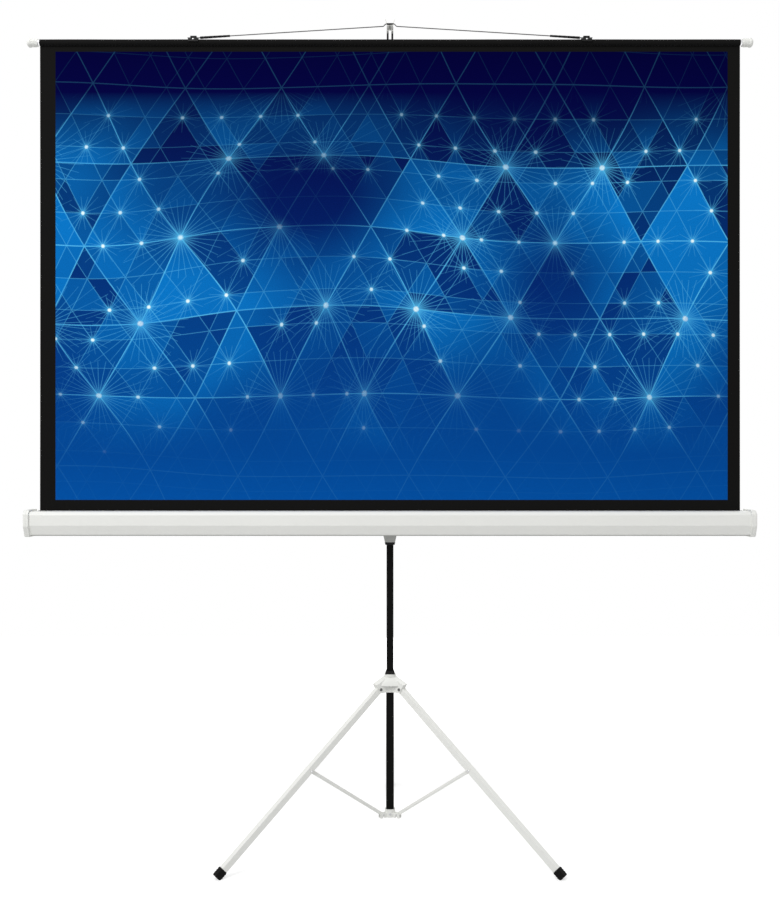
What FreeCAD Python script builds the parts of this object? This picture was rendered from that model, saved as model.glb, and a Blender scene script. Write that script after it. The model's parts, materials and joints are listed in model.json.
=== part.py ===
import FreeCAD, Part
import math
import os
import re
import Sketcher

# A tripod projection screen: a folding tripod on a square mast, a case with a
# sprung roller on a sliding carriage, and a fabric that hangs from a hook on
# the pole drawn out of the mast. Origin on the floor under the mast, Z up,
# the front of the screen faces -Y. All lengths in millimetres.

doc = FreeCAD.newDocument("TripodScreen")
sheet = doc.addObject("Spreadsheet::Sheet", "Sizes")

sizes = {
    # gaps between parts
    "run_gap": 0.05, "slide_gap": 0.2, "rest_gap": 0.3, "overrun": 5,
    # mast and its top bushing
    "mast_side": 18, "mast_wall": 1.2, "mast_corner": 2.5,
    "mast_foot": 71, "mast_top": 1150,
    "bushing_side": 22, "bushing_grip": 12, "bushing_rise": 8,
    # sleeve that carries the hub
    "sleeve_wall": 1, "sleeve_foot": 89.3,
    # tripod linkage
    "leg_pitch": 41.9, "leg_joint_radius": 33, "leg_joint_height": 404,
    "brace_joint_along": 268, "brace_joint_drop": 4.5,
    "brace_foot_radius": 22, "brace_foot_height": 76,
    # legs
    "leg_width": 16, "leg_depth": 16, "leg_wall": 1.3, "leg_length": 587,
    "leg_bend": 1.2, "leg_pin_radius": 2.5, "rivet_radius": 2, "rivet_head": 0.8,
    # rubber feet
    "shoe_wall": 1.2, "shoe_grip": 12, "shoe_tip": 12, "shoe_round": 2,
    # braces
    "brace_depth": 9, "brace_thick": 5, "brace_pin_radius": 1.8,
    # hub
    "hub_foot": 395, "hub_top": 441, "hub_core_radius": 17, "hub_neck_radius": 15.4,
    "hub_neck": 8, "wing_reach": 7, "wing_brow": 1, "wing_roof": 18, "wing_skirt": 6,
    "wing_wall": 3, "leg_slack": 0.4,
    "flange_side": 25.4, "flange_height": 8, "flange_taper": 18,
    # collar at the foot of the mast
    "collar_foot": 68, "collar_top": 89, "collar_radius": 13.5,
    "lug_reach": 31, "lug_height": 12.5, "lug_cheek": 3, "cheek_slack": 0.4, "pin_slack": 0.3,
    "screw_radius": 2, "screw_head_radius": 3, "screw_head": 1.4, "screw_height": 78,
    # carriage
    "carriage_side": 34, "carriage_corner": 5, "carriage_foot": 802, "carriage_top": 886,
    "funnel_height": 24, "funnel_taper": 13, "boss_radius": 17, "boss_reach": 32.7,
    "swivel_radius": 5, "swivel_depth": 13,
    "grip_reach": 60, "grip_foot": 792, "grip_top": 884, "grip_bar": 15, "grip_arm": 14,
    "grip_bevel": 8, "grip_width": 22, "grip_round": 4,
    "button_radius": 6, "button_height": 868, "button_length": 9, "button_travel": 3,
    # case
    "case_y": -66, "case_z": 839, "case_margin": 20, "case_deep": 30, "case_high": 30,
    "front_slope_top": 22, "front_slope_in": 7, "front_crease": 5, "under_front": 21,
    "back_slope": 18, "under_back": 20, "case_wall": 1.3, "case_round": 4,
    "slot_y": 21, "slot_width": 7,
    "cap_grow": 4, "cap_width": 14, "cap_end": 6, "cap_round": 3, "cap_corner": 5,
    "plate_half_x": 36, "plate_half_z": 22, "plate_thick": 3, "plate_round": 8,
    "plate_screw_x": 28, "plate_screw_z": 14,
    # roller
    "roller_radius": 16, "roller_wall": 1, "roll_radius": 20.7,
    "plug_length": 30, "plug_flange": 3, "axle_radius": 4, "axle_length": 50, "axle_seat": 4,
    "coil_wire": 1, "coil_pitch": 5, "coil_length": 150,
    # fabric and batten
    "fabric_half": 900, "fabric_thick": 0.5, "fabric_foot": 840,
    "batten_z": 2072, "batten_radius": 7, "batten_wall": 1, "batten_margin": 24,
    "hem_radius": 8.5, "knob_radius": 10, "knob_margin": 5, "knob_length": 27, "knob_round": 4,
    # bail and its clips
    "clip_x": 505, "clip_half": 13, "clip_radius": 11.5, "clip_lug_half": 8,
    "clip_lug_deep": 3.5, "clip_top": 17, "bail_rise": 13, "wire_radius": 1.25,
    "bail_hook_y": -22, "bail_hook_z": 2130, "kink_half": 11, "kink_out": 17, "kink_drop": 9,
    "bail_bend": 4, "clip_rivet_radius": 2.5, "clip_rivet_rise": 1.2, "clip_rivet_turn": 50,
    # drawn-out pole and its hook
    "pole_side": 14.5, "pole_wall": 1, "pole_corner": 2, "pole_foot": 1015, "pole_top": 2085,
    "guide_side": 15.2, "guide_height": 15, "plug_in": 16,
    "stem_base": 8, "prong_x": 6, "prong_wide": 5, "prong_deep": 8, "prong_top": 2112,
    "head_half": 8.5, "head_back": 7, "head_front": 29, "head_top": 2127,
    "seat_half": 2.2, "lip_rise": 0.8, "seat_back_rise": 4,
    "horn_top": 2143, "horn_thick": 3, "horn_lean": 4, "horn_deep": 4,
}
# lengths that follow the fabric's width
derived = {
    "case_half": "fabric_half + case_margin", "roller_half": "fabric_half",
    "batten_half": "fabric_half + batten_margin", "knob_start": "fabric_half + knob_margin",
}
full_turn = 360
quarter_turn = full_turn / 4
leg_sides = ("rear", "left", "right")
leg_count = len(leg_sides)
azimuths = {side: quarter_turn + full_turn * index / leg_count
            for index, side in enumerate(leg_sides)}

for row, (alias, value) in enumerate(sizes.items(), start=1):
    sheet.set("A%d" % row, alias)
    sheet.set("B%d" % row, str(value))
    sheet.setAlias("B%d" % row, alias)
doc.recompute()

vector = FreeCAD.Vector
zero = vector(0, 0, 0)
axis_x, axis_y, axis_z = vector(1, 0, 0), vector(0, 1, 0), vector(0, 0, 1)


# turn bare size names into references to the sheet
def ref(text):
    def cell(match):
        word = match.group(0)
        if word in derived:
            return "(" + ref(derived[word]) + ")"
        return "Sizes." + word if word in sizes else word
    return re.sub(r"[A-Za-z_]\w*", cell, str(text))


def num(text):
    found = sheet.evalExpression(ref(text))
    return float(getattr(found, "Value", found))


def new_body(label):
    body = doc.addObject("PartDesign::Body", label)
    body.Label = label
    return body


def origin_part(body, role):
    return [item for item in body.Origin.OriginFeatures if item.Role == role][0]


def tie(sketch, kind, first, first_spot, second, second_spot, text):
    number = sketch.addConstraint(
        Sketcher.Constraint(kind, first, first_spot, second, second_spot, num(text)))
    sketch.renameConstraint(number, "size%d" % number)
    sketch.setExpression("Constraints.size%d" % number, ref(text))


def draw_polygon(sketch, points):
    spots = [vector(num(across), num(up), 0) for across, up in points]
    first = sketch.GeometryCount
    count = len(points)
    for index in range(count):
        sketch.addGeometry(Part.LineSegment(spots[index], spots[(index + 1) % count]), False)
    for index in range(count):
        sketch.addConstraint(Sketcher.Constraint(
            "Coincident", first + index, 2, first + (index + 1) % count, 1))
    for index, (across, up) in enumerate(points):
        tie(sketch, "DistanceX", -1, 1, first + index, 1, across)
        tie(sketch, "DistanceY", -1, 1, first + index, 1, up)


def draw_circle(sketch, across, up, radius):
    index = sketch.addGeometry(
        Part.Circle(vector(num(across), num(up), 0), axis_z, num(radius)), False)
    tie(sketch, "DistanceX", -1, 1, index, 3, across)
    tie(sketch, "DistanceY", -1, 1, index, 3, up)
    number = sketch.addConstraint(Sketcher.Constraint("Radius", index, num(radius)))
    sketch.renameConstraint(number, "size%d" % number)
    sketch.setExpression("Constraints.size%d" % number, ref(radius))


def new_sketch(body, plane, polygons=(), circles=(), lift=None):
    sketch = body.newObject("Sketcher::SketchObject", body.Name + "_sketch")
    sketch.AttachmentSupport = [(origin_part(body, plane + "_Plane"), "")]
    sketch.MapMode = "FlatFace"
    if lift is not None:
        sketch.setExpression("AttachmentOffset.Base.z", ref(lift))
    for points in polygons:
        draw_polygon(sketch, points)
    for across, up, radius in circles:
        draw_circle(sketch, across, up, radius)
    doc.recompute()
    return sketch


def pad(body, sketch, length, both_sides=False, reverse=False, taper=None):
    feature = body.newObject("PartDesign::Pad", body.Name + "_pad")
    feature.Profile = sketch
    feature.SideType = "Symmetric" if both_sides else "One side"
    feature.Reversed = reverse
    feature.setExpression("Length", ref(length))
    if taper is not None:
        feature.setExpression("TaperAngle", ref(taper))
    doc.recompute()
    return feature


def pocket(body, sketch, length=None, both_sides=False, reverse=False):
    before = body.Shape.Volume
    feature = body.newObject("PartDesign::Pocket", body.Name + "_pocket")
    feature.Profile = sketch
    feature.SideType = "Symmetric" if both_sides else "One side"
    feature.Reversed = reverse
    if length is None:
        feature.Type = "ThroughAll"
    else:
        feature.setExpression("Length", ref(length))
    doc.recompute()
    if body.Shape.Volume >= before:
        raise RuntimeError("a pocket removed nothing: " + body.Label)
    return feature


def revolve(body, sketch):
    feature = body.newObject("PartDesign::Revolution", body.Name + "_turn")
    feature.Profile = sketch
    feature.ReferenceAxis = (sketch, ["V_Axis"])
    feature.Angle = full_turn
    doc.recompute()
    return feature


def around(body, features):
    pattern = body.newObject("PartDesign::PolarPattern", body.Name + "_around")
    pattern.Originals = features
    pattern.Axis = (origin_part(body, "Z_Axis"), [""])
    pattern.Angle = full_turn
    pattern.Occurrences = leg_count
    body.Tip = pattern
    doc.recompute()
    return pattern


# round the straight edges that run along a direction and pass a test
def round_edges(body, direction, radius, wanted=None):
    base = body.Tip
    names = []
    for number, edge in enumerate(base.Shape.Edges, start=1):
        if len(edge.Vertexes) != 2:
            continue
        run = edge.Vertexes[1].Point - edge.Vertexes[0].Point
        straight = abs(run.Length - edge.Length) < num("run_gap")
        aligned = straight and abs(abs(run.normalize().dot(direction)) - 1) < num("run_gap")
        if aligned and (wanted is None or wanted(edge.CenterOfMass)):
            names.append("Edge%d" % number)
    feature = body.newObject("PartDesign::Fillet", body.Name + "_round")
    feature.Base = (base, names)
    feature.setExpression("Radius", ref(radius))
    doc.recompute()
    return feature


def square(half):
    return [("-(%s)" % half, "-(%s)" % half), (half, "-(%s)" % half),
            (half, half), ("-(%s)" % half, half)]


def oblong(left, right, low, high):
    return [(left, low), (right, low), (right, high), (left, high)]


def lift_body(body, up):
    body.setExpression("Placement.Base.z", ref(up))
    doc.recompute()


def square_tube(label, side, bore, corner, foot, top):
    body = new_body(label)
    pad(body, new_sketch(body, "XY", [square("(%s) / 2" % side)]), "%s - %s" % (top, foot))
    round_edges(body, axis_z, corner)
    pocket(body, new_sketch(body, "XY", [square("(%s) / 2" % bore)]), both_sides=True)
    lift_body(body, foot)
    return body


def cylinder(label, radius, length, base, direction):
    rod = doc.addObject("Part::Cylinder", label)
    rod.Label = label
    rod.setExpression("Radius", ref(radius))
    rod.setExpression("Height", ref(length))
    rod.Placement = FreeCAD.Placement(base, FreeCAD.Rotation(axis_z, direction))
    doc.recompute()
    return rod


def group(label, members):
    bundle = doc.addObject("Part::Compound", label)
    bundle.Label = label
    bundle.Links = members
    doc.recompute()
    return bundle


def fused(label, members):
    solid = doc.addObject("Part::MultiFuse", label)
    solid.Label = label
    solid.Shapes = members
    doc.recompute()
    return solid


def cut(label, base, tool):
    solid = doc.addObject("Part::Cut", label)
    solid.Label = label
    solid.Base = base
    solid.Tool = tool
    doc.recompute()
    return solid


# a place in the upright plane of one leg: out from the mast, up, tipped down
def radial_place(azimuth, out, up, pitch):
    turn = FreeCAD.Placement(zero, FreeCAD.Rotation(axis_z, azimuth))
    spot = FreeCAD.Placement(vector(out, 0, up), FreeCAD.Rotation(axis_y, pitch))
    return turn.multiply(spot)


# a point beside a leg, measured along it and up from its middle line
def along_leg(along, rise):
    out = "leg_joint_radius + (%s) * cos(leg_pitch) + (%s) * sin(leg_pitch)" % (along, rise)
    up = "leg_joint_height - (%s) * sin(leg_pitch) + (%s) * cos(leg_pitch)" % (along, rise)
    return out, up


# mast, collar and bushing
mast_bore = "mast_side - 2 * mast_wall"
square_tube("mast_tube", "mast_side", mast_bore, "mast_corner", "mast_foot", "mast_top")

collar = new_body("mast_collar")
lug_gap = "brace_thick + 2 * cheek_slack"
revolve(collar, new_sketch(collar, "XZ", [oblong("0", "collar_radius", "collar_foot", "collar_top")]))
lug = pad(collar, new_sketch(collar, "XZ", [oblong(
    "collar_radius / 2", "lug_reach", "collar_foot", "collar_foot + lug_height")]),
    lug_gap + " + 2 * lug_cheek", both_sides=True)
around(collar, [lug])
lug_slot = pocket(collar, new_sketch(collar, "XZ", [oblong(
    "collar_radius + rest_gap", "lug_reach + overrun",
    "collar_foot - overrun", "collar_top + overrun")]), lug_gap, both_sides=True)
around(collar, [lug_slot])
pin_room = "brace_pin_radius + pin_slack"
pin_seat = pocket(collar, new_sketch(collar, "XZ", circles=[
    ("brace_foot_radius", "brace_foot_height", pin_room)]),
    lug_gap + " + 4 * lug_cheek", both_sides=True)
pin_way = pocket(collar, new_sketch(collar, "XZ", [[
    ("brace_foot_radius - (%s)" % pin_room, "brace_foot_height"),
    ("brace_foot_radius - (%s) - 4 * pin_slack" % pin_room, "collar_foot - overrun"),
    ("brace_foot_radius + %s" % pin_room, "collar_foot - overrun"),
    ("brace_foot_radius + %s" % pin_room, "brace_foot_height")]]),
    lug_gap + " + 4 * lug_cheek", both_sides=True)
around(collar, [pin_seat, pin_way])
pocket(collar, new_sketch(collar, "XY", [square("mast_side / 2 + run_gap")], lift="collar_top"),
       "collar_top - mast_foot")
collar.Placement = FreeCAD.Placement(zero, FreeCAD.Rotation(axis_z, azimuths["rear"]))
doc.recompute()

screw_face = num("collar_radius")
cylinder("collar_screw", "screw_head_radius", "screw_head",
         vector(0, -screw_face, num("screw_height")), -axis_y)

bushing = new_body("mast_bushing")
pad(bushing, new_sketch(bushing, "XY", [square("bushing_side / 2")]), "bushing_grip + bushing_rise")
round_edges(bushing, axis_z, "mast_corner")
pocket(bushing, new_sketch(bushing, "XY", [square("mast_side / 2 + run_gap")]),
       "bushing_grip", reverse=True)
pocket(bushing, new_sketch(bushing, "XY", [square("pole_side / 2 + slide_gap")]), both_sides=True)
lift_body(bushing, "mast_top - bushing_grip")

# hub on its sleeve
sleeve_bore = "mast_side + 2 * slide_gap"
sleeve_side = "mast_side + 2 * slide_gap + 2 * sleeve_wall"
square_tube("tripod_sleeve", sleeve_side, sleeve_bore, "mast_corner", "sleeve_foot", "hub_top")

hub = new_body("tripod_hub")
revolve(hub, new_sketch(hub, "XZ", [[
    ("0", "hub_foot"), ("hub_core_radius", "hub_foot"),
    ("hub_core_radius", "hub_top - 2 * hub_neck"),
    ("hub_neck_radius", "hub_top - hub_neck"),
    ("hub_neck_radius", "hub_top"), ("0", "hub_top")]]))
slot_width = "leg_width + 2 * leg_slack"
wing = pad(hub, new_sketch(hub, "XZ", [[
    along_leg("wing_brow", "wing_roof"), along_leg("wing_reach", "-wing_skirt"),
    ("leg_joint_radius", "hub_foot"), ("hub_core_radius / 2", "hub_foot"),
    ("hub_core_radius / 2", "hub_top - hub_neck"),
    ("hub_neck_radius", "hub_top - hub_neck")]]),
    slot_width + " + 2 * wing_wall", both_sides=True)
around(hub, [wing])
head_room = "leg_depth / 2 + leg_slack"
head_way = pocket(hub, new_sketch(hub, "XZ", circles=[
    ("leg_joint_radius", "leg_joint_height", head_room)]), slot_width, both_sides=True)
swing_way = pocket(hub, new_sketch(hub, "XZ", [[
    ("leg_joint_radius - (%s)" % head_room, "leg_joint_height"), along_leg("0", head_room),
    along_leg("wing_reach + overrun", head_room),
    ("leg_joint_radius + wing_reach + overrun", "hub_foot - overrun"),
    ("leg_joint_radius - (%s)" % head_room, "hub_foot - overrun")]]),
    slot_width, both_sides=True)
around(hub, [head_way, swing_way])
pin_bore = pocket(hub, new_sketch(hub, "XZ", circles=[
    ("leg_joint_radius", "leg_joint_height", "leg_pin_radius + run_gap")]),
    slot_width + " + 4 * wing_wall", both_sides=True)
around(hub, [pin_bore])
pocket(hub, new_sketch(hub, "XY", [square("(%s) / 2 + run_gap" % sleeve_side)],
                       lift="hub_top + overrun"), "hub_top + overrun")
hub.Placement = FreeCAD.Placement(zero, FreeCAD.Rotation(axis_z, azimuths["rear"]))
doc.recompute()

flange = new_body("hub_flange")
pad(flange, new_sketch(flange, "XY", [square("flange_side / 2")]), "flange_height",
    taper="-flange_taper")
pocket(flange, new_sketch(flange, "XY", [square("mast_side / 2 + slide_gap")]), both_sides=True)
lift_body(flange, "hub_top")

pin_length = slot_width + " + 2 * wing_wall + 2 * rivet_head"
leg_pins = []
for side, azimuth in azimuths.items():
    place = radial_place(azimuth, num("leg_joint_radius"), num("leg_joint_height"), 0)
    pin = cylinder("leg_pin_" + side, "leg_pin_radius", pin_length, zero, axis_z)
    pin.Placement = place.multiply(FreeCAD.Placement(
        vector(0, num(pin_length) / 2, 0), FreeCAD.Rotation(axis_x, quarter_turn)))
    leg_pins.append(pin)
group("leg_hinge_pins", leg_pins)

# legs with their feet, rivets and braces
joint_out, joint_up = [num(text) for text in along_leg("brace_joint_along", "-brace_joint_drop")]
foot_out, foot_up = num("brace_foot_radius"), num("brace_foot_height")
brace_length = math.hypot(joint_out - foot_out, joint_up - foot_up)
brace_pitch = math.degrees(math.atan2(joint_up - foot_up, foot_out - joint_out))
sheet.set("B%d" % (len(sizes) + 1), str(brace_length))
sheet.setAlias("B%d" % (len(sizes) + 1), "brace_length")
sizes["brace_length"] = brace_length
doc.recompute()


# height of the floor line in a leg's own upright plane
def floor_rise(along):
    return "((%s) * sin(leg_pitch) - leg_joint_height) / cos(leg_pitch)" % along


for side, azimuth in azimuths.items():
    leg_place = radial_place(azimuth, num("leg_joint_radius"), num("leg_joint_height"),
                             num("leg_pitch"))
    leg = new_body("leg_channel_" + side)
    pad(leg, new_sketch(leg, "XZ", [oblong("0", "leg_length", "-leg_depth / 2", "leg_depth / 2")]),
        "leg_width", both_sides=True)
    round_edges(leg, axis_x, "leg_bend", lambda spot: spot.z > 0)
    pad(leg, new_sketch(leg, "XZ", circles=[("0", "0", "leg_depth / 2")]),
        "leg_width - 2 * leg_bend", both_sides=True)
    pocket(leg, new_sketch(leg, "XZ", [oblong(
        "-leg_depth", "leg_length + overrun", "-leg_depth", "leg_depth / 2 - leg_wall")]),
        "leg_width - 2 * leg_wall", both_sides=True)
    pocket(leg, new_sketch(leg, "XZ", circles=[
        ("0", "0", "leg_pin_radius + run_gap"),
        ("brace_joint_along", "-brace_joint_drop", "rivet_radius + run_gap")]), both_sides=True)
    leg.Placement = leg_place

    shoe = new_body("foot_cap_" + side)
    shoe_end = "leg_length + shoe_tip"
    pad(shoe, new_sketch(shoe, "XZ", [oblong(
        "leg_length - shoe_grip", shoe_end, "-leg_depth / 2 - shoe_wall",
        "leg_depth / 2 + shoe_wall")]), "leg_width + 2 * shoe_wall", both_sides=True)
    round_edges(shoe, axis_x, "shoe_round")
    round_edges(shoe, axis_y, "shoe_round", lambda spot: spot.z > 0)
    pocket(shoe, new_sketch(shoe, "XZ", [oblong(
        "leg_length - shoe_grip - overrun", "leg_length + run_gap",
        "-leg_depth / 2 - run_gap", "leg_depth / 2 + run_gap")]),
        "leg_width + 2 * run_gap", both_sides=True)
    floor_start, floor_end = "leg_length - 2 * shoe_grip", "leg_length + 2 * shoe_tip"
    pocket(shoe, new_sketch(shoe, "XZ", [[
        (floor_start, floor_rise(floor_start)), (floor_end, floor_rise(floor_end)),
        (floor_end, floor_rise(floor_start) + " - leg_depth"),
        (floor_start, floor_rise(floor_start) + " - leg_depth")]]), both_sides=True)
    shoe.Placement = leg_place

    rivet_length = "leg_width + 2 * rivet_head"
    rivet = cylinder("brace_rivet_" + side, "rivet_radius", rivet_length, zero, axis_z)
    rivet.Placement = leg_place.multiply(FreeCAD.Placement(
        vector(num("brace_joint_along"), num(rivet_length) / 2, -num("brace_joint_drop")),
        FreeCAD.Rotation(axis_x, quarter_turn)))

    brace_place = radial_place(azimuth, joint_out, joint_up, brace_pitch)
    brace = new_body("brace_bar_" + side)
    pad(brace, new_sketch(brace, "XZ", [oblong(
        "0", "brace_length", "-brace_depth / 2", "brace_depth / 2")]),
        "brace_thick", both_sides=True)
    for end in ("0", "brace_length"):
        pad(brace, new_sketch(brace, "XZ", circles=[(end, "0", "brace_depth / 2")]),
            "brace_thick", both_sides=True)
    pocket(brace, new_sketch(brace, "XZ", circles=[
        ("0", "0", "rivet_radius + run_gap"),
        ("brace_length", "0", "brace_pin_radius + run_gap")]), both_sides=True)
    brace.Placement = brace_place

    pin_reach = lug_gap + " + 2 * lug_cheek"
    foot_pin = cylinder("brace_lower_pin_" + side, "brace_pin_radius", pin_reach, zero, axis_z)
    foot_pin.Placement = brace_place.multiply(FreeCAD.Placement(
        vector(brace_length, num(pin_reach) / 2, 0), FreeCAD.Rotation(axis_x, quarter_turn)))
doc.recompute()

# carriage that slides on the mast, with its handle and push button
carriage = new_body("slider_block")
pad(carriage, new_sketch(carriage, "XY", [square("carriage_side / 2")], lift="carriage_foot"),
    "carriage_top - carriage_foot")
round_edges(carriage, axis_z, "carriage_corner")
pad(carriage, new_sketch(carriage, "XY", [square("carriage_side / 2")], lift="carriage_foot"),
    "funnel_height", reverse=True, taper="-funnel_taper")
pad(carriage, new_sketch(carriage, "XZ", circles=[("0", "case_z", "boss_radius")]), "boss_reach")
pocket(carriage, new_sketch(carriage, "XY", [square("mast_side / 2 + slide_gap")],
                            lift="carriage_top + overrun"),
       "carriage_top - carriage_foot + funnel_height + 2 * overrun")
pocket(carriage, new_sketch(carriage, "XZ", circles=[
    ("0", "case_z", "swivel_radius + run_gap")], lift="boss_reach"), "swivel_depth + rest_gap")
pocket(carriage, new_sketch(carriage, "YZ", circles=[
    ("0", "button_height", "button_radius + run_gap")], lift="carriage_side / 2"),
    "carriage_side / 2 - mast_side / 2")

button_start = num("mast_side / 2 + slide_gap + rest_gap + button_travel")
cylinder("slider_latch", "button_radius", "button_length",
         vector(button_start, 0, num("button_height")), axis_x)

handle = new_body("carry_handle")
back, far = "carriage_side / 2", "grip_reach"
near = "grip_reach - grip_bar"
low, high = "grip_foot + grip_arm", "grip_top - grip_arm"
pad(handle, new_sketch(handle, "YZ", [[
    (back, "grip_foot"), (far + " - grip_bevel", "grip_foot"), (far, "grip_foot + grip_bevel"),
    (far, "grip_top - grip_bevel"), (far + " - grip_bevel", "grip_top"), (back, "grip_top"),
    (back, high), (near + " - grip_bevel / 2", high), (near, high + " - grip_bevel / 2"),
    (near, low + " + grip_bevel / 2"), (near + " - grip_bevel / 2", low), (back, low)]]),
    "grip_width", both_sides=True)
round_edges(handle, axis_z, "grip_round", lambda spot: abs(spot.x) > num("grip_width / 4"))

# case of folded sheet, with its end caps, swivel plate and pin


# the case's outline in (y, z) about its middle, grown outwards by some amount
def case_outline(grow):
    lean = "(%s) / 2" % grow
    return [("-(case_deep + %s)" % grow, "front_slope_top + %s" % lean),
            ("-(case_deep - front_slope_in + %s)" % lean, "case_high + %s" % grow),
            ("case_deep + %s" % grow, "case_high + %s" % grow),
            ("case_deep + %s" % grow, "-(back_slope + %s)" % lean),
            ("under_back + %s" % lean, "-(case_high + %s)" % grow),
            ("-(under_front + %s)" % lean, "-(case_high + %s)" % grow),
            ("-(case_deep + %s)" % grow, "-(front_crease + %s)" % lean)]


def place_in_case(body):
    body.setExpression("Placement.Base.y", ref("case_y"))
    body.setExpression("Placement.Base.z", ref("case_z"))
    doc.recompute()


shell = new_body("case_shell")
pad(shell, new_sketch(shell, "YZ", [case_outline("0")]), "2 * case_half", both_sides=True)
crease = num("-front_crease")
round_edges(shell, axis_x, "case_round", lambda spot: abs(spot.z - crease) > num("overrun"))
ends = ["Face%d" % number for number, face in enumerate(shell.Tip.Shape.Faces, start=1)
        if abs(abs(face.CenterOfMass.x) - num("case_half")) < num("run_gap")]
hollow = shell.newObject("PartDesign::Thickness", "case_hollow")
hollow.Base = (hollow.BaseFeature, ends)
hollow.setExpression("Value", ref("case_wall"))
hollow.Reversed = True
hollow.Join = "Intersection"
shell.Tip = hollow
doc.recompute()
pocket(shell, new_sketch(shell, "XY", [oblong(
    "-(case_half + overrun)", "case_half + overrun", "slot_y - slot_width / 2",
    "slot_y + slot_width / 2")], lift="case_high + overrun"), "2 * overrun")
place_in_case(shell)

for side, sign in (("left", "-1"), ("right", "1")):
    to_right = num(sign) > 0
    cap = new_body("case_cap_" + side)
    cap_face = "%s * (case_half + cap_end)" % sign
    cap_mouth = "%s * (case_half + cap_end - cap_width)" % sign
    pad(cap, new_sketch(cap, "YZ", [case_outline("cap_grow")], lift=cap_face),
        "cap_width", reverse=to_right)
    round_edges(cap, axis_x, "cap_corner")
    rim = ["Edge%d" % number for number, edge in enumerate(cap.Tip.Shape.Edges, start=1)
           if all(abs(point.X - num(cap_face)) < num("run_gap") for point in edge.Vertexes)]
    soft = cap.newObject("PartDesign::Fillet", "cap_soft_" + side)
    soft.Base = (soft.BaseFeature, rim)
    soft.setExpression("Radius", ref("cap_round"))
    doc.recompute()
    pocket(cap, new_sketch(cap, "YZ", [case_outline("2 * run_gap")], lift=cap_mouth),
           "cap_width - cap_end", reverse=to_right)
    pocket(cap, new_sketch(cap, "YZ", circles=[("0", "0", "axle_radius + run_gap")],
                           lift="%s * case_half" % sign), "axle_seat", reverse=to_right)
    place_in_case(cap)

plate = new_body("swivel_plate")
plate_back = "-case_y - case_deep"
pad(plate, new_sketch(plate, "XZ", [[
    ("-plate_half_x", "case_z - plate_half_z"), ("plate_half_x", "case_z - plate_half_z"),
    ("plate_half_x", "case_z + plate_half_z"), ("-plate_half_x", "case_z + plate_half_z")]],
    lift=plate_back), "plate_thick", reverse=True)
round_edges(plate, axis_y, "plate_round")
pocket(plate, new_sketch(plate, "XZ", circles=[("0", "case_z", "swivel_radius + run_gap")]),
       both_sides=True)
case_back = num("case_y + case_deep")
cylinder("swivel_pin", "swivel_radius", "plate_thick + rest_gap + swivel_depth",
         vector(0, case_back, num("case_z")), axis_y)
plate_screws = []
for across in (-num("plate_screw_x"), num("plate_screw_x")):
    for up in (-num("plate_screw_z"), num("plate_screw_z")):
        spot = vector(across, case_back + num("plate_thick"), num("case_z") + up)
        plate_screws.append(cylinder("plate_screw", "screw_head_radius", "screw_head", spot, axis_y))
group("plate_screws", plate_screws)

# sprung roller in the case
roller_spot = vector(0, num("case_y"), num("case_z"))


def tube_along_x(label, outer, inner, half):
    start = roller_spot - axis_x * num(half)
    skin = cylinder(label + "_skin", outer, "2 * (%s)" % half, start, axis_x)
    core = cylinder(label + "_core", inner, "2 * (%s)" % half, start, axis_x)
    return cut(label, skin, core)


tube_along_x("roller_tube", "roller_radius", "roller_radius - roller_wall", "roller_half")
tube_along_x("screen_roll", "roll_radius", "roller_radius + run_gap", "fabric_half")
for side, sign in (("left", -1), ("right", 1)):
    way = axis_x * sign
    plug_start = roller_spot + way * num("roller_half - plug_length")
    plug = cylinder("plug_body_" + side, "roller_radius - roller_wall - run_gap",
                    "plug_length + plug_flange", plug_start, way)
    rim = cylinder("plug_rim_" + side, "roller_radius", "plug_flange",
                   roller_spot + way * num("roller_half"), way)
    bore = cylinder("plug_bore_" + side, "axle_radius + run_gap", "plug_length + 2 * overrun",
                    plug_start - way * num("overrun"), way)
    cut("roller_plug_" + side, fused("plug_solid_" + side, [plug, rim]), bore)
    axle_end = roller_spot + way * num("case_half + axle_seat - run_gap")
    cylinder("roller_axle_" + side, "axle_radius", "axle_length", axle_end, -way)

coil_radius = num("roller_radius - roller_wall - coil_wire - 2 * run_gap")
helix = Part.makeHelix(num("coil_pitch"), num("coil_length"), coil_radius)
ring = Part.Wire(Part.makeCircle(num("coil_wire"), vector(coil_radius, 0, 0), axis_y))
coil = doc.addObject("Part::Feature", "roller_spring")
coil.Shape = Part.Wire(helix.Edges).makePipeShell([ring], True, True)
coil_start = roller_spot - axis_x * num("roller_half - plug_length - coil_wire - rest_gap")
coil.Placement = FreeCAD.Placement(coil_start, FreeCAD.Rotation(axis_z, axis_x))

# fabric drawn up from the roller to the batten
fabric_y = "(case_y + slot_y)"
fabric = doc.addObject("Part::Box", "screen_fabric")
fabric.setExpression("Length", ref("2 * fabric_half"))
fabric.setExpression("Width", ref("fabric_thick"))
fabric.setExpression("Height", ref("batten_z - hem_radius - rest_gap - fabric_foot"))
fabric.setExpression("Placement.Base.x", ref("-fabric_half"))
fabric.setExpression("Placement.Base.y", ref(fabric_y + " - fabric_thick / 2"))
fabric.setExpression("Placement.Base.z", ref("fabric_foot"))

batten_spot = vector(0, num(fabric_y), num("batten_z"))


def batten_ring(label, outer, inner, half, middle=0.0):
    start = batten_spot + axis_x * (middle - num(half))
    skin = cylinder(label + "_skin", outer, "2 * (%s)" % half, start, axis_x)
    core = cylinder(label + "_core", inner, "2 * (%s)" % half, start, axis_x)
    return cut(label, skin, core)


batten_ring("batten_tube", "batten_radius", "batten_radius - batten_wall", "batten_half")
batten_ring("screen_hem", "hem_radius", "batten_radius + run_gap", "fabric_half")

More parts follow.
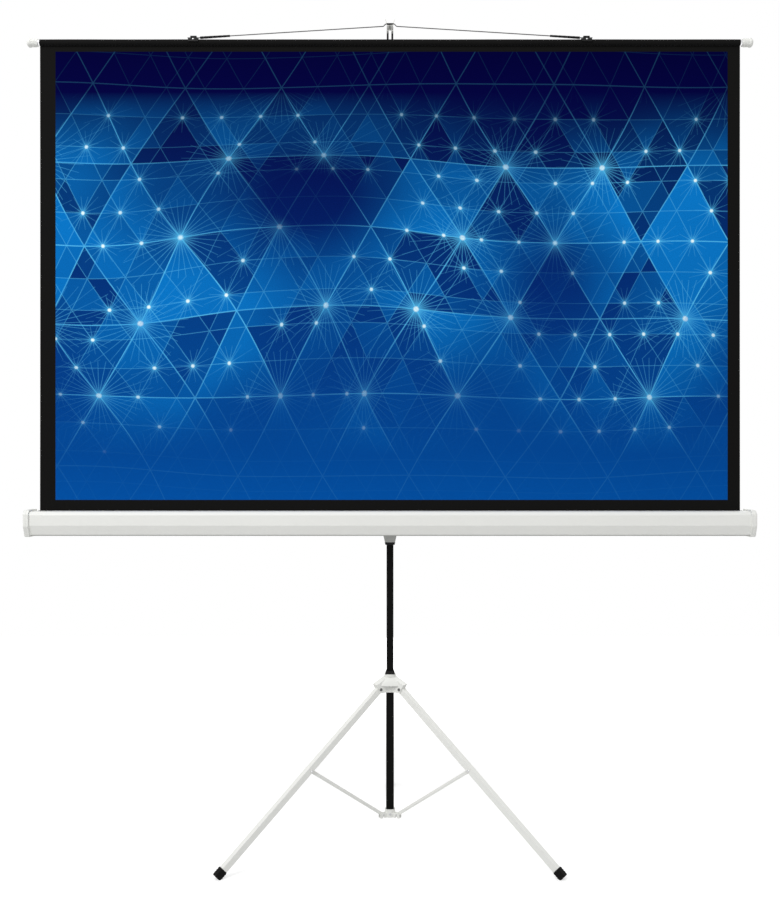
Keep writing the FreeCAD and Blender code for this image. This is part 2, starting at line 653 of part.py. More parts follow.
clip_rivets = []
for side, sign in (("left", -1), ("right", 1)):
    way = axis_x * sign
    knob = new_body("batten_knob_" + side)
    pad(knob, new_sketch(knob, "XY", circles=[("0", "0", "knob_radius")]), "knob_length")
    dome = [number for number, edge in enumerate(knob.Tip.Shape.Edges, start=1)
            if abs(edge.CenterOfMass.z - num("knob_length")) < num("run_gap")]
    soft = knob.newObject("PartDesign::Fillet", "knob_soft_" + side)
    soft.Base = (soft.BaseFeature, ["Edge%d" % number for number in dome])
    soft.setExpression("Radius", ref("knob_round"))
    doc.recompute()
    pocket(knob, new_sketch(knob, "XY", circles=[("0", "0", "batten_radius + run_gap")]),
           "batten_half - knob_start + run_gap", reverse=True)
    knob.Placement = FreeCAD.Placement(batten_spot + way * num("knob_start"),
                                       FreeCAD.Rotation(axis_z, way))

    clip = new_body("bail_clip_" + side)
    pad(clip, new_sketch(clip, "YZ", circles=[("0", "0", "clip_radius")]),
        "2 * clip_half", both_sides=True)
    pocket(clip, new_sketch(clip, "YZ", [oblong(
        "-2 * clip_radius", "2 * clip_radius", "-2 * clip_radius", "0")]), both_sides=True)
    pad(clip, new_sketch(clip, "YZ", [oblong(
        "-clip_lug_deep", "clip_lug_deep", "hem_radius + clip_rivet_rise", "clip_top")]),
        "2 * clip_lug_half", both_sides=True)
    pocket(clip, new_sketch(clip, "YZ", circles=[("0", "0", "hem_radius + rest_gap")]),
           both_sides=True)
    pocket(clip, new_sketch(clip, "YZ", circles=[("0", "bail_rise", "wire_radius + run_gap")]),
           both_sides=True)
    clip_spot = batten_spot + way * num("clip_x")
    clip.Placement = FreeCAD.Placement(clip_spot, FreeCAD.Rotation())
    turn = FreeCAD.Rotation(axis_x, num("clip_rivet_turn"))
    outward = turn.multVec(axis_z)
    clip_rivets.append(cylinder("clip_rivet", "clip_rivet_radius", "2 * clip_rivet_rise",
                                clip_spot + outward * num("clip_radius + run_gap"), outward))
group("clip_rivets", clip_rivets)
doc.recompute()

# bail wire bent in one plane about the clips' holes
bail_axis = batten_spot + axis_z * num("bail_rise")
lean_out = num("bail_hook_y") - bail_axis.y
lean_up = num("bail_hook_z") - bail_axis.z
bail_reach = math.hypot(lean_out, lean_up)
bail_lean = vector(0, lean_out / bail_reach, lean_up / bail_reach)
arm_half = num("clip_half + overrun / 2")
corners = []
for sign, order in ((-1, 1), (1, -1)):
    run = [(sign * (num("clip_x") + arm_half), 0), (sign * (num("clip_x") - arm_half), 0),
           (sign * num("kink_out"), bail_reach - num("kink_drop")),
           (sign * num("kink_half"), bail_reach)]
    corners += run[::order]
corners = [bail_axis + axis_x * across + bail_lean * up for across, up in corners]
edges = []
last = corners[0]
for before, corner, after in zip(corners, corners[1:], corners[2:]):
    back = (before - corner).normalize()
    on = (after - corner).normalize()
    half_turn = math.pi / 2 - back.getAngle(on) / 2
    reach = num("bail_bend") * math.tan(half_turn)
    inside = (back + on).normalize()
    middle = corner + inside * (num("bail_bend") / math.cos(half_turn) - num("bail_bend"))
    start, stop = corner + back * reach, corner + on * reach
    edges.append(Part.LineSegment(last, start).toShape())
    edges.append(Part.Arc(start, middle, stop).toShape())
    last = stop
edges.append(Part.LineSegment(last, corners[-1]).toShape())
wire_ring = Part.Wire(Part.makeCircle(num("wire_radius"), corners[0], axis_x))
bail = doc.addObject("Part::Feature", "hanger_bail")
bail.Shape = Part.Wire(edges).makePipeShell([wire_ring], True, False)

# pole drawn out of the mast, with its guide and hook
pole_bore = "pole_side - 2 * pole_wall"
square_tube("extension_tube", "pole_side", pole_bore, "pole_corner", "pole_foot", "pole_top")


def pole_end(label, side, height, reverse, level):
    body = new_body(label)
    pad(body, new_sketch(body, "XY", [square("%s / 2" % side)], lift=level), height, reverse=reverse)
    pad(body, new_sketch(body, "XY", [square("(%s) / 2 - 2 * run_gap" % pole_bore)], lift=level),
        "plug_in", reverse=not reverse)
    return body


pole_end("extension_guide", "guide_side", "guide_height", True, "pole_foot")
stem = pole_end("hook_stem", "pole_side", "stem_base", False, "pole_top")
for sign in ("-1", "1"):
    left, right = ["%s * prong_x + %s * prong_wide / 2" % (sign, step) for step in ("-1", "1")]
    pad(stem, new_sketch(stem, "XY", [oblong(
        left, right, "-prong_deep / 2", "prong_deep / 2")], lift="pole_top"),
        "prong_top - pole_top")

head = new_body("hook_head")
seat = "(bail_hook_z - wire_radius - rest_gap)"
seat_y = "bail_hook_y"
pad(head, new_sketch(head, "YZ", [[
    ("head_back", "prong_top"), ("head_back", "head_top"),
    (seat_y + " + 2 * seat_half", seat + " + seat_back_rise"),
    (seat_y + " + seat_half", seat + " + seat_back_rise"), (seat_y + " + seat_half", seat),
    (seat_y + " - seat_half", seat), (seat_y + " - 2 * seat_half", seat + " + lip_rise"),
    ("-head_front", seat + " + lip_rise"), ("-head_front", seat + " - seat_back_rise"),
    (seat_y, "prong_top")]]), "2 * head_half", both_sides=True)
for sign in ("-1", "1"):
    inner, outer = "(head_half - horn_thick)", "head_half"
    pad(head, new_sketch(head, "XZ", [[
        ("%s * %s" % (sign, inner), seat), ("%s * %s" % (sign, outer), seat),
        ("%s * (%s + horn_lean)" % (sign, outer), "horn_top"),
        ("%s * (%s + horn_lean + horn_thick / 2)" % (sign, inner), "horn_top")]],
        lift="-(bail_hook_y + seat_half)"), "horn_deep", reverse=True)
doc.recompute()

nodes = ["mast_tube", "mast_collar", "collar_screw", "mast_bushing", "tripod_sleeve", "tripod_hub",
         "hub_flange", "leg_hinge_pins", "slider_block", "slider_latch", "carry_handle",
         "swivel_plate", "swivel_pin", "plate_screws", "case_shell", "roller_tube",
         "screen_roll", "roller_spring", "screen_fabric", "batten_tube", "screen_hem",
         "clip_rivets", "hanger_bail", "extension_tube", "extension_guide", "hook_stem",
         "hook_head"]
nodes += [name + "_" + side for name in ("leg_channel", "foot_cap", "brace_rivet", "brace_bar",
                                         "brace_lower_pin") for side in azimuths]
nodes += [name + "_" + side for name in ("case_cap", "roller_plug", "roller_axle", "batten_knob",
                                         "bail_clip") for side in ("left", "right")]

for item in doc.Objects:
    if "Invalid" in item.State or "Error" in item.State:
        raise RuntimeError("not built: " + item.Label)
os.makedirs("parts", exist_ok=True)
for label in nodes:
    found = doc.getObjectsByLabel(label)
    shape = found[0].Shape
    if len(found) != 1 or shape.isNull() or not shape.isValid() or not shape.Solids:
        raise RuntimeError("bad shape: " + label)
    shape.exportStep("parts/%s.step" % label)
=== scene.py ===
import json
from functools import partial
from math import copysign, cos, pi, radians, sin, sqrt
import bpy
import bmesh
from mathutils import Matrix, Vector
from mathutils.geometry import convex_hull_2d


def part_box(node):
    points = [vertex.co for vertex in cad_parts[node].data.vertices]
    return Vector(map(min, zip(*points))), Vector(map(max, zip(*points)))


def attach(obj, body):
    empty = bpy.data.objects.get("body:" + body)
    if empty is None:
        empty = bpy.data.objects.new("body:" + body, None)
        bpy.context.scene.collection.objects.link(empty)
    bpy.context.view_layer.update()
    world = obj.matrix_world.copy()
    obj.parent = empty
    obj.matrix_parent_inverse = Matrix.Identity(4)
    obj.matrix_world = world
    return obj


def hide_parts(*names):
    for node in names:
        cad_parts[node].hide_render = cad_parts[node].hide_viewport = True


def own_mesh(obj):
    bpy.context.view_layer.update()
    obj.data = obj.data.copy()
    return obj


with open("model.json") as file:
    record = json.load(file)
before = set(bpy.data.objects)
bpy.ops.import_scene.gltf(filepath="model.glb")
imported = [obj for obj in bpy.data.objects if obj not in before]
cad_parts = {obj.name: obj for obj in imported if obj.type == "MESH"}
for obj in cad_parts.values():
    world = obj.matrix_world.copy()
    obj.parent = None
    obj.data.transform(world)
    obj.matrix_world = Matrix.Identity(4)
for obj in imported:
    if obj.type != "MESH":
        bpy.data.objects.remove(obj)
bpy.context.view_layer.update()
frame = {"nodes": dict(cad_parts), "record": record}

nodes = frame["nodes"]
scene = bpy.context.scene
scene.view_settings.view_transform = "Standard"
print("frame loaded:", len(nodes), "nodes")


def addObject(name, data):
    thing = bpy.data.objects.new(name, data)
    scene.collection.objects.link(thing)
    return thing


# camera at the photograph's place: level, at about half the height of the part
cameraSet = {"place": (0.0, -2.75, 1.025), "lens": 48.55, "sensor": 36.0, "clipEnd": 60.0}
cameraData = bpy.data.cameras.new("studioCamera")
cameraData.sensor_fit = "HORIZONTAL"
cameraData.sensor_width = cameraSet["sensor"]
cameraData.lens = cameraSet["lens"]
cameraData.clip_end = cameraSet["clipEnd"]
camera = addObject("studioCamera", cameraData)
camera.location = cameraSet["place"]
camera.rotation_euler = (radians(90), 0, 0)
scene.camera = camera


# node helpers; feed gives a socket a number or a colour, or links another socket to it
def feed(tree, socket, value):
    if isinstance(value, (int, float)):
        socket.default_value = value
    elif isinstance(value, tuple):
        socket.default_value = (*value, 1)
    else:
        tree.links.new(value, socket)


def setInputs(node, values):
    for label, value in values.items():
        node.inputs[label].default_value = value


def mathNode(tree, operation, *values):
    node = tree.nodes.new("ShaderNodeMath")
    node.operation = operation
    for socket, value in zip(node.inputs, values):
        feed(tree, socket, value)
    return node.outputs[0]


def rampNode(tree, value, low, high, fromLow=0.0, fromHigh=1.0):
    node = tree.nodes.new("ShaderNodeMapRange")
    for label, given in (("Value", value), ("From Min", fromLow), ("From Max", fromHigh),
                         ("To Min", low), ("To Max", high)):
        feed(tree, node.inputs[label], given)
    return node.outputs["Result"]


def noiseNode(tree, place, scale, detail, rough, output="Fac"):
    node = tree.nodes.new("ShaderNodeTexNoise")
    for label, given in (("Vector", place), ("Scale", scale), ("Detail", detail), ("Roughness", rough)):
        feed(tree, node.inputs[label], given)
    return node.outputs[output]


def mixColour(tree, fac, first, second, blend="MIX"):
    node = tree.nodes.new("ShaderNodeMix")
    node.data_type = "RGBA"
    node.blend_type = blend
    for socket, value in ((node.inputs["Factor"], fac), (node.inputs[6], first), (node.inputs[7], second)):
        feed(tree, socket, value)
    return node.outputs[2]


def joinPlace(tree, *values):
    node = tree.nodes.new("ShaderNodeCombineXYZ")
    for socket, value in zip(node.inputs, values):
        feed(tree, socket, value)
    return node.outputs[0]


def startSkin(name, rough, spec, metal=0.0):
    skin = bpy.data.materials.new(name)
    skin.use_nodes = True
    tree = skin.node_tree
    shader = tree.nodes["Principled BSDF"]
    setInputs(shader, {"Roughness": rough, "Metallic": metal, "Specular IOR Level": spec})
    return skin, tree, shader, tree.nodes.new("ShaderNodeTexCoord").outputs["Object"]


def splitPlace(tree, place):
    node = tree.nodes.new("ShaderNodeSeparateXYZ")
    tree.links.new(place, node.inputs[0])
    return node.outputs


# 1 for a ray that should see plain white: straight from the camera, off metal, through glass
def whiteRay(tree):
    kinds = tree.nodes.new("ShaderNodeLightPath").outputs
    seen = kinds["Is Camera Ray"]
    for name in ("Is Glossy Ray", "Is Transmission Ray"):
        seen = mathNode(tree, "MAXIMUM", seen, kinds[name])
    return seen


# soft studio light: a pale world and three area lamps, the key from high on the left
lightSet = {
    "worldLevel": 0.6, "worldTint": (1.0, 1.0, 0.995, 1),
    "lamps": [
        {"name": "keyLamp", "place": (-2.1, -3.1, 4.6), "aim": (0, 0, 0.9), "size": 2.6, "power": 150},
        {"name": "fillLamp", "place": (2.8, -3.6, 2.0), "aim": (0, 0, 0.9), "size": 2.6, "power": 8},
        {"name": "backLamp", "place": (1.2, 3.4, 3.4), "aim": (0, 0, 1.0), "size": 2.4, "power": 46},
    ],
}
world = bpy.data.worlds.new("studioWorld")
scene.world = world
world.use_nodes = True
skyTree = world.node_tree
skyTree.nodes.clear()
skyOut = skyTree.nodes.new("ShaderNodeOutputWorld")
seenSky = skyTree.nodes.new("ShaderNodeBackground")
setInputs(seenSky, {"Color": (1, 1, 1, 1)})
litSky = skyTree.nodes.new("ShaderNodeBackground")
setInputs(litSky, {"Color": lightSet["worldTint"], "Strength": lightSet["worldLevel"]})
skyMix = skyTree.nodes.new("ShaderNodeMixShader")
skyTree.links.new(whiteRay(skyTree), skyMix.inputs[0])
skyTree.links.new(litSky.outputs[0], skyMix.inputs[1])
skyTree.links.new(seenSky.outputs[0], skyMix.inputs[2])
skyTree.links.new(skyMix.outputs[0], skyOut.inputs["Surface"])
for lampSet in lightSet["lamps"]:
    lampData = bpy.data.lights.new(lampSet["name"], "AREA")
    lampData.energy = lampSet["power"]
    lampData.size = lampSet["size"]
    lamp = addObject(lampSet["name"], lampData)
    lamp.location = lampSet["place"]
    aim = Vector(lampSet["aim"]) - lamp.location
    lamp.rotation_euler = aim.to_track_quat("-Z", "Y").to_euler()

# pale floor: white to the camera, and it keeps the shadow of the feet
floorSet = {"half": 3.0, "colour": (0.6, 0.6, 0.6, 1), "rough": 0.9, "spec": 0.0, "nearLift": 0.54,
            "farLift": 1.0, "near": 0.7, "far": 1.6}
floorMesh = bpy.data.meshes.new("studioFloor")
half = floorSet["half"]
floorCorners = [(-half, -half, 0), (half, -half, 0), (half, half, 0), (-half, half, 0)]
floorMesh.from_pydata(floorCorners, [], [(0, 1, 2, 3)])
floor = addObject("studioFloor", floorMesh)
floorSkin, floorTree, floorShader, floorPlace = startSkin("paleFloor", floorSet["rough"], floorSet["spec"])
setInputs(floorShader, {"Base Color": floorSet["colour"], "Emission Color": (1, 1, 1, 1)})
floorReach = floorTree.nodes.new("ShaderNodeVectorMath")
floorReach.operation = "LENGTH"
floorTree.links.new(floorPlace, floorReach.inputs[0])
floorLift = rampNode(floorTree, floorReach.outputs["Value"], floorSet["nearLift"], floorSet["farLift"],
                     floorSet["near"], floorSet["far"])
floorTree.links.new(mathNode(floorTree, "MULTIPLY", floorLift, whiteRay(floorTree)),
                    floorShader.inputs["Emission Strength"])
floorMesh.materials.append(floorSkin)
print("camera, light and floor set")


# shared effects, one node group each: a place and some values in, values out
def newGroup(name, values, outputs):
    group = bpy.data.node_groups.new(name, "ShaderNodeTree")
    group.interface.new_socket("Place", in_out="INPUT", socket_type="NodeSocketVector")
    for label, value in values.items():
        socket = group.interface.new_socket(label, in_out="INPUT", socket_type="NodeSocketFloat")
        socket.default_value = value
    for label in outputs:
        group.interface.new_socket(label, in_out="OUTPUT", socket_type="NodeSocketFloat")
    return group, group.nodes.new("NodeGroupInput").outputs, group.nodes.new("NodeGroupOutput").inputs


def placeGroup(tree, group, values, place):
    node = tree.nodes.new("ShaderNodeGroup")
    node.node_tree = group
    setInputs(node, values)
    tree.links.new(place, node.inputs["Place"])
    return node.outputs


# paint and moulding: fine grain, slow colour drift, scuffs in patches
surfaceSet = {
    "scales": {"Grain Scale": 900.0, "Drift Scale": 7.0, "Scuff Scale": 60.0},
    "noises": {"Grain": (2.0, 0.5), "Drift": (4.0, 0.6), "Scuff": (6.0, 0.7)}, "patches": (0.58, 0.72),
}
surfaceGroup, surfaceIn, surfaceOut = newGroup("surfaceDrift", surfaceSet["scales"], surfaceSet["noises"])
for label, (detail, rough) in surfaceSet["noises"].items():
    fac = noiseNode(surfaceGroup, surfaceIn["Place"], surfaceIn[label + " Scale"], detail, rough)
    if label == "Scuff":
        fac = rampNode(surfaceGroup, fac, 0.0, 1.0, *surfaceSet["patches"])
    surfaceGroup.links.new(fac, surfaceOut[label])

# cloth: two crossing sets of threads
weaveSet = {"threads": 1400.0, "gapShade": 0.86}
weaveGroup, weaveIn, weaveOut = newGroup(
    "clothThreads", {"Threads": weaveSet["threads"]}, ["Height", "Shade"])
weavePlace = splitPlace(weaveGroup, weaveIn["Place"])
threadHeights = []
for axisName in ("X", "Z"):
    phase = mathNode(weaveGroup, "MULTIPLY", weavePlace[axisName], weaveIn["Threads"])
    wave = mathNode(weaveGroup, "SINE", mathNode(weaveGroup, "MULTIPLY", phase, 2 * pi))
    threadHeights.append(rampNode(weaveGroup, wave, 0.0, 1.0, -1.0, 1.0))
threadTop = mathNode(weaveGroup, "MAXIMUM", *threadHeights)
weaveGroup.links.new(threadTop, weaveOut["Height"])
weaveGroup.links.new(rampNode(weaveGroup, threadTop, weaveSet["gapShade"], 1.0), weaveOut["Shade"])

# a net of triangles: facet tones, distance to the links, to the points and to rays round the points
linkedSet = {"size": 0.1, "rays": 14.0, "pickSeed": 7.0}
netGroup, netIn, netOut = newGroup("linkedNet", {"Size": linkedSet["size"], "Rays": linkedSet["rays"]},
                                   ["Facet", "Edge", "Spot", "Pick", "Ray"])


def fillNet():
    sums = partial(mathNode, netGroup)
    times, minus = partial(sums, "MULTIPLY"), partial(sums, "SUBTRACT")

    def chance(*place):
        node = netGroup.nodes.new("ShaderNodeTexWhiteNoise")
        netGroup.links.new(joinPlace(netGroup, *place), node.inputs["Vector"])
        return node.outputs["Value"]

    tall = sqrt(3) / 2  # height of a triangle of side 1
    place, size = splitPlace(netGroup, netIn["Place"]), netIn["Size"]
    b = sums("DIVIDE", sums("DIVIDE", place["Y"], size), tall)
    a = minus(sums("DIVIDE", place["X"], size), times(b, 0.5))
    shareA, shareB = sums("FRACT", a), sums("FRACT", b)
    both = sums("ADD", shareA, shareB)
    upper = sums("GREATER_THAN", both, 1.0)
    weights = [sums("ABSOLUTE", minus(first, second))
               for first, second in ((upper, shareA), (upper, shareB), (both, 1.0))]
    least = sums("MINIMUM", weights[0], sums("MINIMUM", weights[1], weights[2]))
    most = sums("MAXIMUM", weights[0], sums("MAXIMUM", weights[1], weights[2]))
    netGroup.links.new(times(times(least, tall), size), netOut["Edge"])
    rest = minus(1.0, most)
    square = minus(times(rest, rest), times(rest, least))
    square = sums("ADD", square, times(least, least))
    netGroup.links.new(times(sums("SQRT", square), size), netOut["Spot"])
    netGroup.links.new(chance(sums("FLOOR", a), sums("FLOOR", b), upper), netOut["Facet"])
    nearA, nearB = sums("ROUND", a), sums("ROUND", b)
    pick = chance(nearA, nearB, linkedSet["pickSeed"])
    netGroup.links.new(pick, netOut["Pick"])
    alongB = minus(b, nearB)
    x = sums("ADD", minus(a, nearA), times(alongB, 0.5))
    y = times(alongB, tall)
    reach = sums("SQRT", sums("ADD", times(x, x), times(y, y)))
    turn = sums("DIVIDE", sums("ARCTAN2", y, x), 2 * pi)
    turn = sums("FRACT", sums("ADD", times(turn, netIn["Rays"]), pick))
    away = sums("DIVIDE", sums("ABSOLUTE", minus(turn, 0.5)), netIn["Rays"])
    away = times(times(away, 2 * pi), times(reach, size))
    netGroup.links.new(away, netOut["Ray"])


fillNet()
print("shared effects made")


def addBump(tree, shader, height, strength, distance):
    bump = tree.nodes.new("ShaderNodeBump")
    setInputs(bump, {"Strength": strength, "Distance": distance})
    tree.links.new(height, bump.inputs["Height"])
    tree.links.new(bump.outputs["Normal"], shader.inputs["Normal"])


# hard surfaces share one recipe with their own values
def hardSkin(name, colour, tone, worn, scuffShare, rough, roughSpan, grain, drift, scuff, bump, spec,
             metal=0.0, bumpDepth=0.0002, stretch=None):
    skin, tree, shader, place = startSkin(name, rough, spec, metal)
    if stretch:
        mapping = tree.nodes.new("ShaderNodeMapping")
        mapping.inputs["Scale"].default_value = stretch
        tree.links.new(place, mapping.inputs["Vector"])
        place = mapping.outputs["Vector"]
    scales = {"Grain Scale": grain, "Drift Scale": drift, "Scuff Scale": scuff}
    surface = placeGroup(tree, surfaceGroup, scales, place)
    toned = mixColour(tree, surface["Drift"], colour, tone)
    wear = mathNode(tree, "MULTIPLY", surface["Scuff"], scuffShare)
    tree.links.new(mixColour(tree, wear, toned, worn), shader.inputs["Base Color"])
    uneven = rampNode(tree, surface["Drift"], rough - roughSpan, rough + roughSpan)
    tree.links.new(uneven, shader.inputs["Roughness"])
    addBump(tree, shader, surface["Grain"], bump, bumpDepth)
    return skin


mouldingLook = dict(
    colour=(0.79, 0.795, 0.765), tone=(0.84, 0.845, 0.815), worn=(0.66, 0.66, 0.63), scuffShare=0.18,
    rough=0.5, roughSpan=0.06, grain=1900.0, drift=16.0, scuff=90.0, bump=0.18, spec=0.3)
steelLook = dict(
    colour=(0.52, 0.52, 0.53), tone=(0.62, 0.62, 0.62), worn=(0.36, 0.35, 0.34), scuffShare=0.3, rough=0.3,
    roughSpan=0.08, metal=1.0, grain=2400.0, drift=60.0, scuff=240.0, bump=0.12, bumpDepth=0.0001, spec=0.5)
finishes = {
    "white_paint": hardSkin(
        "whitePaint", colour=(0.8, 0.805, 0.775), tone=(0.84, 0.845, 0.815), worn=(0.7, 0.7, 0.67),
        scuffShare=0.12, rough=0.42, roughSpan=0.05, grain=1500.0, drift=5.0, scuff=45.0, bump=0.1,
        spec=0.35),
    "grey_plastic": hardSkin("paleMoulding", **mouldingLook),
    "black_paint": hardSkin(
        "blackTubePaint", colour=(0.0026, 0.0026, 0.0023), tone=(0.0042, 0.0042, 0.0037),
        worn=(0.014, 0.014, 0.012), scuffShare=0.2, rough=0.4, roughSpan=0.08, grain=1500.0, drift=9.0,
        scuff=30.0, bump=0.1, stretch=(1.0, 1.0, 0.12), spec=0.05),
    "black_plastic": hardSkin(
        "blackMoulding", colour=(0.0065, 0.0065, 0.0065), tone=(0.0105, 0.0105, 0.0105),
        worn=(0.026, 0.026, 0.026), scuffShare=0.18, rough=0.52, roughSpan=0.07, grain=2100.0, drift=25.0,
        scuff=120.0, bump=0.22, spec=0.12),
    "black_rubber": hardSkin(
        "footRubber", colour=(0.0055, 0.0055, 0.0055), tone=(0.011, 0.0105, 0.01),
        worn=(0.045, 0.042, 0.04), scuffShare=0.25, rough=0.8, roughSpan=0.08, grain=1300.0, drift=40.0,
        scuff=160.0, bump=0.3, bumpDepth=0.0003, spec=0.08),
    "steel": hardSkin("plainSteel", **steelLook),
    "aluminium": hardSkin(
        "drawnTube", colour=(0.66, 0.66, 0.67), tone=(0.74, 0.74, 0.75), worn=(0.5, 0.5, 0.5),
        scuffShare=0.2, rough=0.32, roughSpan=0.06, metal=1.0, grain=1800.0, drift=30.0, scuff=90.0,
        bump=0.1, bumpDepth=0.0001, stretch=(0.08, 1.0, 1.0), spec=0.5),
}
# own finishes: dark steel for wire and pins, a darker grey as painted shade for the carriage's funnel under
# the case and for the lip under the case's front edge, a greyer moulding for the hook's pads
darkSteel = hardSkin("darkSteel", **dict(
    steelLook, colour=(0.085, 0.085, 0.085), tone=(0.125, 0.125, 0.125), worn=(0.2, 0.2, 0.2),
    scuffShare=0.25, rough=0.42))
paintedShadeGrey = hardSkin("paintedShadeMoulding", **dict(
    mouldingLook, colour=(0.4, 0.405, 0.39), tone=(0.47, 0.475, 0.455), worn=(0.32, 0.32, 0.31),
    scuffShare=0.2, spec=0.25))
padGrey = hardSkin("padMoulding", **dict(
    mouldingLook, colour=(0.42, 0.42, 0.41), tone=(0.5, 0.5, 0.485), worn=(0.3, 0.3, 0.3),
    scuffShare=0.2, rough=0.55, drift=60.0, scuff=200.0, spec=0.2))

# black cloth of the hem, the felt and the back of the screen
clothSet = {"driftDetail": 4.0, "driftRough": 0.6, "bumpDepth": 0.0002}


def clothSkin(name, colour, tone, deep, rough, spec, threads, drift, bump):
    skin, tree, shader, place = startSkin(name, rough, spec)
    weave = placeGroup(tree, weaveGroup, {"Threads": threads}, place)
    slow = noiseNode(tree, place, drift, clothSet["driftDetail"], clothSet["driftRough"])
    toned = mixColour(tree, slow, colour, tone)
    tree.links.new(mixColour(tree, weave["Shade"], deep, toned), shader.inputs["Base Color"])
    addBump(tree, shader, weave["Height"], bump, clothSet["bumpDepth"])
    return skin


borderLook = dict(
    colour=(0.0066, 0.0066, 0.0068), tone=(0.0084, 0.0082, 0.008), deep=(0.003, 0.003, 0.003), rough=0.8,
    spec=0.04, threads=700.0, drift=6.0, bump=0.25)
finishes["border_cloth"] = clothSkin("borderCloth", **borderLook)
feltSkin = clothSkin(
    "slotFelt", colour=(0.01, 0.01, 0.01), tone=(0.018, 0.018, 0.017), deep=(0.004, 0.004, 0.004),
    rough=0.95, spec=0.03, threads=420.0, drift=40.0, bump=0.5)
threadSkin = clothSkin(
    "hemThread", colour=(0.016, 0.016, 0.017), tone=(0.024, 0.024, 0.025), deep=(0.008, 0.008, 0.008),
    rough=0.7, spec=0.08, threads=2400.0, drift=90.0, bump=0.4)

# the printed face: a blue fall of colour, darker upwards, with two plain nets of linked points on it
printSet = {
    "left": -0.86, "right": 0.868, "low": 0.8968, "high": 2.0491, "edge": 0.0004, "rough": 0.82,
    "spec": 0.012, "threads": 900.0, "threadShade": 0.12, "bump": 0.12, "bumpDepth": 0.0001,
    "fall": [(0.0, (0.001, 0.08, 0.36)), (0.11, (0.001, 0.063, 0.3)), (0.5, (0.001, 0.018, 0.15)),
             (0.82, (0.001, 0.0015, 0.056)), (1.0, (0.0005, 0.0003, 0.034))],
    "facetColour": (0.003, 0.2, 0.62), "linkColour": (0.1, 0.55, 0.9), "pointColour": (0.8, 0.97, 1.0),
    "warp": 0.11, "warpScale": 1.5, "clusterScale": 1.9, "noise": (0.0, 0.4), "cluster": (0.34, 0.62),
    "fadeLow": (0.1, 0.34), "fadeHigh": (0.91, 0.72), "litFacets": (0.4, 0.85), "facetLeast": 0.05,
    "rayWide": (0.0003, 0.0012), "linkCore": 0.3, "linkLeast": 0.06, "haloTop": 0.85, "haloPower": 2.5,
    "pointCore": 0.5,
    "nets": [
        {"size": 0.235, "rays": 34.0, "facet": 0.85, "link": 0.75, "linkWide": 0.002, "ray": 0.6,
         "rayReach": 0.19, "point": 0.0085, "halo": 0.055, "pick": 0.3},
        {"size": 0.094, "rays": 14.0, "facet": 0.4, "link": 0.34, "linkWide": 0.0014, "ray": 0.4,
         "rayReach": 0.07, "point": 0.0056, "halo": 0.024, "pick": 0.5},
    ],
}


